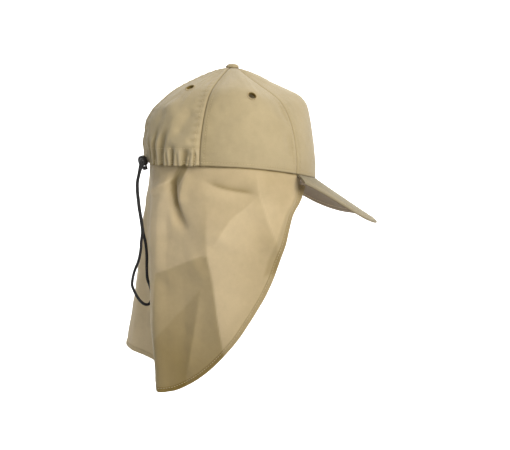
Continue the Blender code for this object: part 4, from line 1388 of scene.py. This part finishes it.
@dataclass
class NeckFlap:
    """The flap of cloth that hangs from the band, with its folds, its hem and the hem's stitches."""

    finishes: Finishes
    hem_width: float = 0.0062
    hem_lift: float = 0.0005
    hem_row: float = 0.24
    hem_groove: float = 0.00025
    pucker_height: float = 0.00035
    pucker_pitch: float = 0.011
    near_creases: tuple[Crease, ...] = rows_of(Crease, (
        (((135, 5), (147, -8), (160, -19), (173, -26)), 0.0042, 0.011, 0.007, 0.8),
        (DARK_FOLD, -0.0070, 0.010, 0.008, 0.4),
        (((133, 4), (138, -17), (140, -36)), 0.0030, 0.008, 0.010, 0.6),
        (SWAG, -0.0022, 0.012, 0.014, 0.6),
        (((88, -1), (87, -23), (81, -56), (76, -78), (72, -96)), 0.0030, 0.016, 0.024, 0.7),
        (((57, -21), (68, -44), (75, -65), (82, -96)), 0.0022, 0.014, 0.009, 0.8),
        (((88, -25), (97, -38), (105, -49), (116, -78)), 0.0030, 0.018, 0.030, 0.8),
        (((158, -112), (147, -104), (124, -88)), 0.0034, 0.040, 0.022, 0.8),
        (((120, -30), *FACET_EDGE), 0.0052, 0.026, 0.048, 0.85),
        (((126, -127), (132, -178), (139, -226)), 0.0016, 0.014, 0.010, 0.9),
        (((164, -30), (166, -90), (166, -150), (168, -210)), 0.0020, 0.012, 0.012, 0.3),
    ))
    far_creases: tuple[Crease, ...] = rows_of(Crease, (
        (((228, 2), (232, -22), (240, -52)), -0.0050, 0.011, 0.012, 0.2),
        (((222, 3), (219, -18), (214, -44)), 0.0030, 0.010, 0.012, 0.3),
        (((236, -2), (252, -10), (268, -18)), -0.0034, 0.010, 0.012, 0.2),
        (((238, 3), (254, -1), (272, -6)), 0.0030, 0.010, 0.011, 0.1),
        (((272, 0), (275, -30), (281, -66)), 0.0036, 0.020, 0.018, 0.4),
        (((262, -50), (250, -90), (240, -130)), 0.0030, 0.034, 0.034, 0.5),
        (((240, -110), (246, -150), (252, -184)), 0.0024, 0.030, 0.034, 0.5),
        (((192, -20), (196, -60), (198, -110)), 0.0016, 0.014, 0.014, 0.2),
        (((215, -120), (217, -160), (218, -205)), -0.0016, 0.018, 0.018, 0.2),
    ))
    # Painted shade and painted light along the folds' edges.
    fold_shade_lines: tuple[ShadeLine, ...] = rows_of(ShadeLine, (
        (DARK_FOLD, 0.14, 0.005, 0.16, 0.003),
        (((134, 20), (140.5, 3), (149.5, -10), (162, -19), (172, -24)),
         -0.14, 0.0014, -0.16, 0.0014),
        (((131, 20), (133, 4), (137, -6), (143, -20), (141, -32)), -0.10, 0.0016, -0.10, 0.0016),
        (SWAG, -0.05, 0.014, 0.11, 0.007),
        (((119, -11), (112, -15), (105, -18), (96, -20.5), (90, -23)), 0.15, 0.0016, 0.24, 0.0034),
        (FRONT_FOLD, 0.05, 0.014, -0.02, 0.020),
        (FRONT_FOLD, -0.07, 0.0012, -0.07, 0.0012),
        (((88, -25), (97, -38), (105, -49), (116, -78)), 0.03, 0.020, -0.08, 0.030),
        (((120.5, -30), *FACET_EDGE), 0.05, 0.016, -0.10, 0.040),
    ))
    # Painted shade over areas between the folds, darker towards the hem, and painted light where the depth
    # is below zero.
    fold_shade_patches: tuple[ShadePatch, ...] = rows_of(ShadePatch, (
        (((140.5, 7), (133.5, 7), (137.3, -6), (143.5, -19.5), (141, -30), (136, -53), (146, -36),
          (149.5, -20), (148.5, -10)), 0.32, 0.0012),
        (((124, -30), (150, -14), (164, -22), (164, -108), (147, -100), (124, -85)),
         -0.06, 0.012),
        (((150, -16), (158, -20), (172, -26), (172, -80), (150, -66), (147, -40)), -0.10, 0.008),
        (((54, 8), (84, 4), (85, -20), (72, -40), (54, -18)), 0.09, 0.008),
        (((57, -18), (68.7, -44), (74.7, -64.6), (81.8, -96), (84, -112), (70, -112), (40, -60),
          (40, -18)), 0.17, 0.0022),
        (((158, -112), (147, -104), (124, -88.5), (119.6, -88), (118.5, -103), (115.8, -136.5),
          (113.5, -165), (110.5, -200), (108, -270), (163, -270), (161, -180)), 0.20, 0.0012),
        (((126, -127), (132, -178), (139, -226), (142, -270), (162, -270), (160, -190),
          (146, -160)), 0.08, 0.0020),
        (((90, -185), (163, -185), (163, -300), (90, -300)), 0.24, 0.050),
        (((164, 20), (178, 20), (178, -270), (164, -270)), -0.08, 0.004),
        (((181, -60), (208, -60), (208, -300), (181, -300)), -0.17, 0.014),
        (((40, -60), (90, -60), (97, -110), (103, -170), (108, -240), (40, -240)), 0.13, 0.030),
    ))
    # Painted shade on the hem and a painted shadow under the crown's rim.
    hem_shade: float = 0.16
    rim_shade: float = 0.45
    stitches: StitchRows = field(init=False)

    def __post_init__(self) -> None:
        """Start the flap's rows of stitches."""
        self.stitches = StitchRows(self.finishes.thread, pitch=0.0032, length=0.0025)

    def relief(self, turn: Array, height: Array) -> Array:
        """How far the flap's folds and soft waves stand out of its smooth form."""
        out = crease_height(self.near_creases, turn, height, SHAPE.mean_radius)
        out += crease_height(self.far_creases, turn, height, SHAPE.mean_radius)
        along = np.radians(turn) * SHAPE.mean_radius
        out += 0.0007 * ripple(along, height * 0.7, 0.075, 21) + 0.00028 * ripple(along, height, 0.024, 22)
        return out

    def lines(self) -> tuple[Array, Array]:
        """Where the flap's columns run, from the band to the hem, in turns and heights.

        Returns:
            Rows by columns of turns, and of heights in metres.
        """
        start, end = SHAPE.flap_front, 360.0 - SHAPE.flap_front
        turns = np.linspace(start, end, 250)
        scale = SHAPE.mean_radius
        x, z = np.radians(turns) * scale, SHAPE.flap_hem(turns)
        slope_x, slope_z = np.gradient(x), np.gradient(z)
        size = np.hypot(slope_x, slope_z)
        inward_x, inward_z = slope_z / size * -1, slope_x / size
        band = SHAPE.band_height(turns)
        room = np.minimum(self.hem_width, 0.45 * (band - z))
        inner_x, inner_z = x + inward_x * room, z + inward_z * room
        inner_x = np.clip(inner_x, x[0], x[-1])
        field_rows = np.concatenate([[0.0, 0.006, 0.014], np.linspace(0.025, 1.0, 116)])
        hem_rows = np.array([0.06, 0.14, 0.24, 0.5, 0.78, 0.92, 1.0])
        grid_x = x[None, :] + (inner_x - x)[None, :] * field_rows[:, None] ** 1.2
        grid_z = band[None, :] + (inner_z - band)[None, :] * field_rows[:, None]
        hem_x = inner_x[None, :] + (x - inner_x)[None, :] * hem_rows[:, None]
        hem_z = inner_z[None, :] + (z - inner_z)[None, :] * hem_rows[:, None]
        self.field_count = len(field_rows)
        self.hem_shares = np.concatenate([np.full(len(field_rows), -1.0), hem_rows])
        turns = np.degrees(np.concatenate([grid_x, hem_x]) / scale)
        return turns, np.concatenate([grid_z, hem_z])

    def build(self) -> Piece:
        """Returns:
            The flap's cloth.
        """
        turn, height = self.lines()
        base = SHAPE.flap(turn, height)
        normal = facing_out(base, turn)
        fallen = SHAPE.band_height(turn) - height
        free = smooth_step(0.0, 0.016, fallen)
        out = self.relief(turn, height) * free
        front = np.minimum(turn - SHAPE.flap_front, 360 - SHAPE.flap_front - turn)
        out *= smooth_step(0.0, 14.0, front) * 0.9 + 0.1
        along = np.radians(turn) * SHAPE.mean_radius
        share = self.hem_shares[:, None]
        on_hem = share >= 0
        waves = np.sin(along * 2 * math.pi / self.pucker_pitch + 1.5 * np.sin(along * 40))
        pucker = self.pucker_height * waves
        pucker = pucker * np.where(on_hem, np.sin(np.pi * np.clip(share, 0, 1)), 0)
        falling = 1 - 0.6 * smooth_step(0.86, 1.0, share)
        ridge = np.where(on_hem, np.where(share < 0.2, smooth_step(0.0, 0.14, share), falling), 0)
        line = -self.hem_groove * pulse(share, self.hem_row, 0.08)
        raised = out + self.hem_lift * ridge + np.where(on_hem, line, 0) + pucker
        outer = base + normal * raised[..., None]
        inner = base + normal * (out - SHAPE.flap_wall - self.hem_lift * ridge + pucker)[..., None]
        tucked_outer, tucked_inner = [], []
        for lift in (SHAPE.flap_tuck, 0.5 * SHAPE.flap_tuck):
            rise = lift / (SHAPE.crown_top - SHAPE.band_height(turn[0]))
            wall = np.stack([SHAPE.crown(turn[0], rise), SHAPE.crown(turn[0], rise + 0.01)])
            direction = grid_normals(wall)[0]
            flip = np.sign(np.sum(direction * SHAPE.outward(turn[0]), axis=-1))[:, None]
            direction = direction * flip
            tucked_outer.append(wall[0] - direction * (SHAPE.wall + SHAPE.gap))
            tucked_inner.append(wall[0] - direction * (SHAPE.wall + SHAPE.gap + SHAPE.flap_wall))
        outer = np.concatenate([np.array(tucked_outer), outer])
        inner = np.concatenate([np.array(tucked_inner), inner])
        steps = np.linalg.norm(np.diff(outer, axis=0), axis=-1)
        length = np.concatenate([np.zeros((1, outer.shape[1])), np.cumsum(steps, axis=0)])
        uv = np.stack([np.concatenate([along[:1], along[:1], along]), -length], axis=-1)
        # Painted shade and light of the folds, painted shade on the hem, and a painted shadow under the
        # crown's rim that fades below it.
        shade = fold_shade(self.fold_shade_lines, self.fold_shade_patches, turn, height, SHAPE.mean_radius)
        shade += np.where(on_hem, self.hem_shade * smooth_step(-0.05, 0.12, share), 0)
        shade += self.rim_shade * pulse(fallen, 0.0, 0.0013) + 0.03 * pulse(fallen, 0.010, 0.008)
        shade = np.concatenate([shade[:1], shade[:1], shade])
        piece = cloth_wall("neck_flap_cloth", outer, inner, uv, (self.finishes.flap,), shade)
        tucked = len(tucked_outer)
        around = np.concatenate([turn[:1]] * tucked + [turn])
        hem_places = self.hem_shares[self.field_count:]
        on_row = float(np.interp(self.hem_row, hem_places, np.arange(len(hem_places))))
        columns = np.linspace(1.0, outer.shape[1] - 2.0, 900)
        rows = np.full(len(columns), tucked + self.field_count + on_row)
        points, facing = ClothGrid(outer, facing_out(outer, around)).read(rows, columns)
        self.stitches.add(points, facing)
        self.stitches.add(ClothGrid(inner, grid_normals(inner)).read(rows, columns)[0], -facing)
        sewn = self.stitches.build("neck_flap_hem_stitches")
        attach(sewn, BODY)
        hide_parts("neck_flap")
        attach(piece, BODY)
        return piece


# The peak


@dataclass
class Peak:
    """The stiff peak: a cloth cover over a curved insert, with a turned edge and edge stitching."""

    finishes: Finishes
    reach: float = 0.0746
    half_width: float = 0.0861
    thickness: float = 0.0024
    slope: float = 0.646
    arch_radius: float = 0.165
    end_turn: float = 56.0
    end_tuck: float = 0.0012
    band_drop: float = 0.0012
    edge_rows: tuple[float, ...] = (0.0042, 0.0105)
    row_dip: float = 0.00016
    welt: float = 0.00018
    outline: tuple[PeakRow, ...] = rows_of(PeakRow, (
        (0.000, 1.000), (0.180, 0.986), (0.350, 0.960), (0.515, 0.922),
        (0.660, 0.852), (0.765, 0.762), (0.830, 0.655), (0.868, 0.500),
        (0.895, 0.335), (0.940, 0.165), (1.000, 0.008),
    ))

    def height(self, x: Array, y: Array) -> Array:
        """Height of the peak's top face over a place in plan."""
        middle = float(SHAPE.band_height(np.array(0.0))) - self.band_drop
        return middle - self.slope * (x - SHAPE.half_length) - y * y / (2 * self.arch_radius)

    def edge(self, share: Array) -> tuple[Array, Array]:
        """Place in plan on the outer edge; share runs from -1, the wearer's right, to 1."""
        steps = np.linspace(0, 1, len(self.outline))
        across = smooth_through(steps, [row.across for row in self.outline], np.abs(share))
        forward = smooth_through(steps, [row.forward for row in self.outline], np.abs(share))
        start = float(SHAPE.plan(np.array(self.end_turn), np.array(1.0))[0])
        tip = SHAPE.half_length + self.reach
        return start + (tip - start) * forward, np.copysign(self.half_width * across, share)

    def build(self) -> Piece:
        """Build the peak and its edge stitching.

        Returns:
            The peak's covered blade.
        """
        columns = 121
        share = np.linspace(-1, 1, columns)
        turn = -self.end_turn * share
        start_x, start_y = SHAPE.plan(turn, np.ones(columns))
        out = SHAPE.outward(turn)
        start_x, start_y = start_x + out[:, 0] * SHAPE.gap, start_y + out[:, 1] * SHAPE.gap
        edge_x, edge_y = self.edge(share)
        span = np.hypot(edge_x - start_x, edge_y - start_y)
        rows = np.concatenate([np.linspace(0, 0.9, 40),
                               [0.925, 0.945, 0.96, 0.972, 0.982, 0.99, 0.996, 1.0]])
        lift = SHAPE.band_height(turn) - SHAPE.gap - self.height(start_x, start_y)
        top, bottom, across, forward = [], [], [], []
        for reach in rows:
            x = start_x + (edge_x - start_x) * reach
            y = start_y + (edge_y - start_y) * reach
            z = self.height(x, y) + lift * (1 - reach) ** 2
            left = span * (1 - reach)
            rim = np.clip(1 - left / 0.0016, 0, 1)
            half = self.thickness / 2 * np.sqrt(np.clip(1 - rim**2, 0.02, 1))
            welt = self.welt * pulse(left, 0.0030, 0.0016)
            groove = sum(self.row_dip * pulse(left, row, 0.0006) for row in self.edge_rows)
            soft = 0.00022 * ripple(x, y, 0.05, 31)
            middle = z - self.thickness / 2
            above = middle + half + np.minimum(0.0, soft) + welt * (rim < 1) - groove
            top.append(np.stack([x, y, above], axis=-1))
            bottom.append(np.stack([x, y, middle - half + np.maximum(0.0, soft) + groove], axis=-1))
            across.append(y)
            forward.append(x)
        tuck = SHAPE.wall + SHAPE.flap_wall + 3 * SHAPE.gap
        beside_flap = smooth_step(SHAPE.flap_front - 8.0, SHAPE.flap_front - 3.0, np.abs(turn))
        first = top[0].copy()
        first[:, :2] -= out[:, :2] * (tuck + (self.end_tuck - tuck) * beside_flap)[:, None]
        under = first.copy()
        under[:, 2] -= self.thickness
        top, bottom = np.array([first] + top), np.array([under] + bottom)
        uv = np.stack([np.array([across[0]] + across), np.array([forward[0]] + forward)], axis=-1)
        piece = cloth_wall("peak_cover", top, bottom, uv, (self.finishes.peak, self.finishes.under))
        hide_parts("peak")
        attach(piece, BODY)
        stitches = StitchRows(self.finishes.thread, pitch=0.0030, length=0.0024, radius=0.00028)
        for row in self.edge_rows:
            for grid_points, sign in ((top, 1.0), (bottom, -1.0)):
                normal = grid_normals(grid_points)
                if normal[..., 2].mean() * sign < 0:
                    normal = -normal
                shares = np.maximum(0.0, 1 - row / span)
                place = np.interp(shares, rows, np.arange(len(rows)))
                columns_at = np.linspace(2, columns - 3, 500)
                rows_at = 1 + np.interp(columns_at, np.arange(columns), place)
                stitches.add(*ClothGrid(grid_points, normal).read(rows_at, columns_at))
        sewn = stitches.build("peak_edge_stitches")
        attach(sewn, BODY)
        LOG.info("peak: %d faces", len(piece.data.polygons))
        return piece


# The drawcord and its lock


class CordRow(NamedTuple):
    """A point on the loop below the lock, as shares of the crown's half length, half width and of
    the cord's drop."""

    back: float
    right: float
    down: float


@dataclass
class CordAndLock:
    """The drawcord's loop, and the sprung lock that it passes through."""

    finishes: Finishes
    diameter: float = 0.003
    pile: float = 0.00015
    spacing: float = 0.0034
    bend_radius: float = 0.006
    drop: float = 0.154
    stand_off: float = 0.0066
    aside: float = 0.003
    rise: float = 0.0031
    yaw: float = 17.9
    tilt: float = 17.0
    lock_radius: float = 0.0052
    lock_width: float = 0.0122
    lock_half_height: float = 0.0062
    lock_base: float = 0.0044
    roof: float = 0.0010
    plunger_radius: float = 0.0029
    plunger_button: float = 0.0042
    travel: float = 0.0025
    rows: tuple[CordRow, ...] = rows_of(CordRow, (
        (1.136, 0.182, 0.030), (1.150, 0.150, 0.084), (1.152, 0.138, 0.138), (1.147, 0.138, 0.188),
        (1.135, 0.138, 0.277), (1.117, 0.138, 0.358), (1.104, 0.136, 0.447), (1.118, 0.118, 0.520),
        (1.122, 0.098, 0.580), (1.147, 0.080, 0.661), (1.200, 0.070, 0.748), (1.226, 0.064, 0.832),
        (1.208, 0.062, 0.880), (1.160, 0.060, 0.944), (1.102, 0.058, 0.988), (1.043, 0.058, 0.998),
        (1.004, 0.058, 0.962), (1.004, 0.060, 0.900), (1.024, 0.062, 0.850), (1.048, 0.064, 0.799),
        (1.052, 0.066, 0.710), (1.050, 0.072, 0.640), (1.054, 0.078, 0.580), (1.066, 0.086, 0.517),
        (1.088, 0.090, 0.452), (1.104, 0.090, 0.362), (1.121, 0.090, 0.281), (1.134, 0.090, 0.193),
        (1.139, 0.090, 0.142), (1.138, 0.104, 0.086), (1.125, 0.136, 0.030),
    ))

    @property
    def centre(self) -> Vector:
        """Middle of the lock, where its axis and its cross hole meet."""
        edge = float(SHAPE.band_height(np.array(180.0)))
        return Vector((-SHAPE.half_length - self.stand_off, -self.aside, edge + self.rise))

    @property
    def place(self) -> Matrix:
        """The lock's own frame: +Z up its axis and +Y along its cross hole."""
        yaw = Matrix.Rotation(math.radians(-self.yaw), 4, "Z")
        return Matrix.Translation(self.centre) @ yaw @ Matrix.Rotation(math.radians(-self.tilt), 4, "Y")

    def mouth(self, level: float, side: int) -> Vector:
        """Middle of a strand just outside the lock: side is 1 at the far mouth and -1 at the near."""
        return self.place @ Vector((0, side * (self.lock_width + self.diameter) / 2, level))

    def to_casing(self, level: float) -> list[Vector]:
        """One strand from its end in the casing, round a bend, to the lock's far mouth."""
        yaw = math.radians(self.yaw)
        axis = Vector((math.sin(yaw), math.cos(yaw), 0))
        mouth = self.mouth(level, 1)
        radius = (SHAPE.wall / 2 - SHAPE.half_length - mouth.x) / axis.y
        centre = mouth + Vector((axis.y, -axis.x, 0)) * radius
        angles = [math.radians(90 + (90 - self.yaw) * step / 4) for step in range(5)]
        return [centre + Vector((math.cos(a), math.sin(a), 0)) * radius for a in angles]

    def from_lock(self, level: float) -> list[Vector]:
        """One strand from the lock's near mouth, round a bend, to where it hangs."""
        yaw = math.radians(self.yaw)
        out = -Vector((math.sin(yaw), math.cos(yaw), 0))
        radius = self.bend_radius + self.spacing / 2 + level
        mouth = self.mouth(level, -1)
        angles = [math.radians(22.0 * step) for step in range(4)]
        return [mouth + out * radius * math.sin(a) - Vector((0, 0, radius * (1 - math.cos(a))))
                for a in angles]

    def route(self) -> Array:
        """The cord's whole centreline, from the casing through the lock and back."""
        upper, lower = self.spacing / 2, -self.spacing / 2
        loop = [Vector((-row.back * SHAPE.half_length, -row.right * SHAPE.half_width,
                        -row.down * self.drop)) for row in self.rows]
        points = (self.to_casing(upper) + self.from_lock(upper) + loop + self.from_lock(lower)[::-1]
                  + self.to_casing(lower)[::-1])
        fine = smooth_line(np.array([tuple(p) for p in points]), 16)
        lengths = run_lengths(fine)
        places = np.linspace(0, lengths[-1], int(lengths[-1] / 0.0015) + 1)
        return np.stack([np.interp(places, lengths, fine[:, i]) for i in range(3)], axis=-1)

    def tube(self, name: str, path: Array, radius: float, sides: int = 16) -> Piece:
        """A closed round tube along a path, with a UV map in metres round and along it."""
        form = bmesh.new()
        uv = form.loops.layers.uv.new("cloth")
        tangents = np.gradient(path, axis=0)
        tangents /= np.linalg.norm(tangents, axis=1)[:, None]
        lengths = run_lengths(path)
        side = Vector((0, 0, 1)).cross(Vector(tangents[0])).normalized()
        angles = [2 * math.pi * k / sides for k in range(sides)]
        rings = []
        for point, tangent in zip(path, tangents):
            tangent = Vector(tangent)
            side = (side - tangent * side.dot(tangent)).normalized()
            other = tangent.cross(side)
            ways = [side * math.cos(a) + other * math.sin(a) for a in angles]
            rings.append([form.verts.new(Vector(point) + way * radius) for way in ways])
        for index, face in enumerate(loft(form, rings)):
            number, k = divmod(index, sides)
            for loop, (step, along) in zip(face.loops, ((k, 0), (k + 1, 0), (k + 1, 1), (k, 1))):
                loop[uv].uv = (2 * math.pi * radius * step / sides, lengths[number + along])
        return put_in_scene(name, mesh_of(name, form, self.finishes.cord))

    def slot_cutter(self, width: float, height: float, length: float, centre: float) -> Piece:
        """A rounded slot along the lock's own Y, to cut with."""
        form = bmesh.new()
        radius, straight = width / 2, max(0.0, (height - width) / 2)
        rings = []
        for y in (-length / 2, length / 2):
            ring = []
            for end in (1, -1):
                for step in range(17):
                    angle = math.pi * step / 16
                    x, z = end * radius * math.cos(angle), end * (straight + radius * math.sin(angle))
                    ring.append(form.verts.new(self.place @ Vector((x, y, centre + z))))
            rings.append(ring)
        loft(form, rings)
        bmesh.ops.remove_doubles(form, verts=form.verts, dist=1e-6)
        return put_in_scene("slot_cutter", mesh_of("slot_cutter", form, smooth=False))

    def lock(self) -> tuple[Piece, Piece]:
        """Build the lock's barrel and its sprung button.

        Returns:
            The barrel and the button.
        """
        top, base, radius = self.lock_half_height, -0.9 * self.lock_half_height, self.lock_radius
        profile = [(0, base), (self.lock_base * 0.9, base), (self.lock_base, base + 0.0004),
                   (radius * 0.965, base * 0.62), (radius * 0.955, base * 0.56),
                   (radius * 0.985, base * 0.48), (radius, base * 0.2), (radius, 0)]
        for angle in range(10, 90, 8):
            around = math.radians(angle)
            profile.append((radius * math.cos(around) ** 0.8, top * math.sin(around)))
        profile.append((0, top))
        plastic, widen = self.finishes.plastic, self.lock_width / 2 / radius
        body = turned("cord_lock_barrel", profile, self.place, plastic, 64, widen)
        bore_radius, bore_top = self.plunger_radius + SHAPE.gap, top - self.roof
        bore_shape = [(0, 2 * base), (bore_radius, 2 * base), (bore_radius, bore_top), (0, bore_top)]
        bore = turned("bore_cutter", bore_shape, self.place, plastic, 48)
        width = self.diameter + 2 * SHAPE.gap
        cut_away(body, [bore, self.slot_cutter(width, width + self.spacing, 2 * self.lock_width, 0.0)])
        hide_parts("cord_lock_body")
        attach(body, BODY)
        strands = (self.spacing + self.diameter) / 2
        shoulder = -strands - 2 * SHAPE.gap - self.travel
        leg_top = bore_top - self.travel - SHAPE.gap
        tip, size = shoulder - self.plunger_button, self.plunger_radius
        shape = [(0, tip), (size * 0.55, tip), (size * 0.85, tip + 0.0002), (size, tip + 0.0008),
                 (size, tip + 0.0016), (size * 0.95, tip + 0.0018), (size, tip + 0.0020), (size, leg_top),
                 (0, leg_top)]
        plunger = turned("cord_lock_button", shape, self.place, plastic, 48)
        reach, slot_width = leg_top - shoulder, self.diameter + 4 * SHAPE.gap
        cut_away(plunger, [self.slot_cutter(slot_width, 2 * reach, 4 * size, leg_top)])
        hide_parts("cord_lock_plunger")
        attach(plunger, PLUNGER_BODY)
        return body, plunger

    def build(self) -> None:
        path = self.route()
        piece = self.tube("drawcord_braid", path, self.diameter / 2 + self.pile)
        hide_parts("drawcord")
        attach(piece, BODY)
        body, plunger = self.lock()


# The studio


@dataclass
class Studio:
    """The camera at the photograph's angle, a pale floor that sweeps up behind, and soft lights."""

    bearing: float = 0.31247
    pitch: float = 0.16134
    distance: float = 0.9014
    aim_across: float = 0.02559
    aim_up: float = -0.06715
    focal_pixels: float = 782.6
    floor: float = -0.850
    floor_front: float = 2.5
    floor_back: float = 1.2
    bend: float = 0.9
    wall_top: float = 3.2
    half_wide: float = 3.5

    def axes(self) -> tuple[Vector, Vector, Vector]:
        """The view's right, up and backward directions."""
        right = Vector((math.cos(self.bearing), -math.sin(self.bearing), 0))
        level = Vector((-math.sin(self.bearing), -math.cos(self.bearing), 0))
        up = Vector((0, 0, math.cos(self.pitch))) - level * math.sin(self.pitch)
        back = level * math.cos(self.pitch) + Vector((0, 0, math.sin(self.pitch)))
        return right, up, back

    def camera(self) -> None:
        """Set the camera where the photograph was taken from."""
        right, up, back = self.axes()
        place = right * self.aim_across + up * self.aim_up + back * self.distance
        data = bpy.data.cameras.new("photo_view")
        data.sensor_width = 36.0
        data.lens = self.focal_pixels * data.sensor_width / PHOTO_WIDTH
        data.clip_start, data.clip_end = 0.05, 20.0
        camera = put_in_scene("photo_view", data)
        turn = Matrix((right, up, back)).transposed().to_4x4()
        camera.matrix_world = Matrix.Translation(place) @ turn
        bpy.context.scene.camera = camera

    def backdrop(self) -> None:
        """A pale floor that curves up into a wall behind the cap."""
        _, _, back = self.axes()
        away = Vector((-back.x, -back.y, 0)).normalized()
        side = Vector((-away.y, away.x, 0))
        form = bmesh.new()
        outline = [(-self.floor_front, 0.0), (self.floor_back, 0.0)]
        outline += [(self.floor_back + self.bend * math.sin(a), self.bend * (1 - math.cos(a)))
                    for a in np.linspace(0.1, math.pi / 2, 14)]
        outline.append((self.floor_back + self.bend, self.wall_top))
        rows = [[form.verts.new(away * d + side * s + Vector((0, 0, self.floor + h)))
                 for s in (-self.half_wide, self.half_wide)] for d, h in outline]
        for low, high in zip(rows, rows[1:]):
            form.faces.new((low[0], low[1], high[1], high[0]))
        mesh = bpy.data.meshes.new("backdrop")
        form.to_mesh(mesh)
        form.free()
        mesh.shade_smooth()
        sketch = NodeSketch("backdrop_paper")
        sketch.shader.inputs["Base Color"].default_value = (0.93, 0.93, 0.93, 1.0)
        sketch.surface({"Roughness": 0.95, "Specular IOR Level": 0.0})
        mesh.materials.append(sketch.material)
        piece = put_in_scene("backdrop", mesh)

    def lamp(self, name: str, place: tuple[float, float, float], aim: tuple[float, float, float],
             size: float, power: float, colour: tuple[float, float, float]) -> None:
        """A soft square lamp; its place and its aim are the view's right, up and backward distances."""
        frame = Matrix(self.axes()).transposed()
        spot, target = frame @ Vector(place), frame @ Vector(aim)
        data = bpy.data.lights.new(name, "AREA")
        data.shape, data.size, data.energy, data.color = "SQUARE", size, power, colour
        turn = (target - spot).to_track_quat("-Z", "Y").to_matrix().to_4x4()
        put_in_scene(name, data).matrix_world = Matrix.Translation(spot) @ turn

    def build(self) -> None:
        """Set the camera, the backdrop, the lamps and the sky."""
        self.camera()
        self.backdrop()
        self.lamp("key", (0.60, 0.38, 0.90), (0.0, -0.02, 0.0), 0.7, 12.5, (1.0, 0.965, 0.90))
        self.lamp("fill", (-0.9, 0.5, 0.7), (0.0, 0.0, 0.0), 1.0, 2.3, (0.95, 0.98, 1.0))
        self.lamp("wall", (0.0, 1.2, -0.9), (0.0, -0.5, -2.4), 1.6, 75.0, (1.0, 1.0, 1.0))
        world = bpy.data.worlds.new("sky")
        world.use_nodes = True
        world.node_tree.nodes["Background"].inputs["Color"].default_value = (1.0, 1.0, 1.0, 1.0)
        world.node_tree.nodes["Background"].inputs["Strength"].default_value = 0.24
        bpy.context.scene.world = world
        bpy.context.scene.view_settings.view_transform = "Standard"


def main() -> None:
    """Build the whole dressed cap."""
    logging.basicConfig(level=logging.INFO, format="%(message)s")
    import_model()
    Studio().build()
    finishes = Finishes()
    CordAndLock(finishes).build()
    LOG.info("cord and lock built")
    Crown(finishes).build()
    LOG.info("crown built")
    Peak(finishes).build()
    LOG.info("peak built")
    NeckFlap(finishes).build()
    LOG.info("neck flap built")


if __name__ == "__main__":
    main()
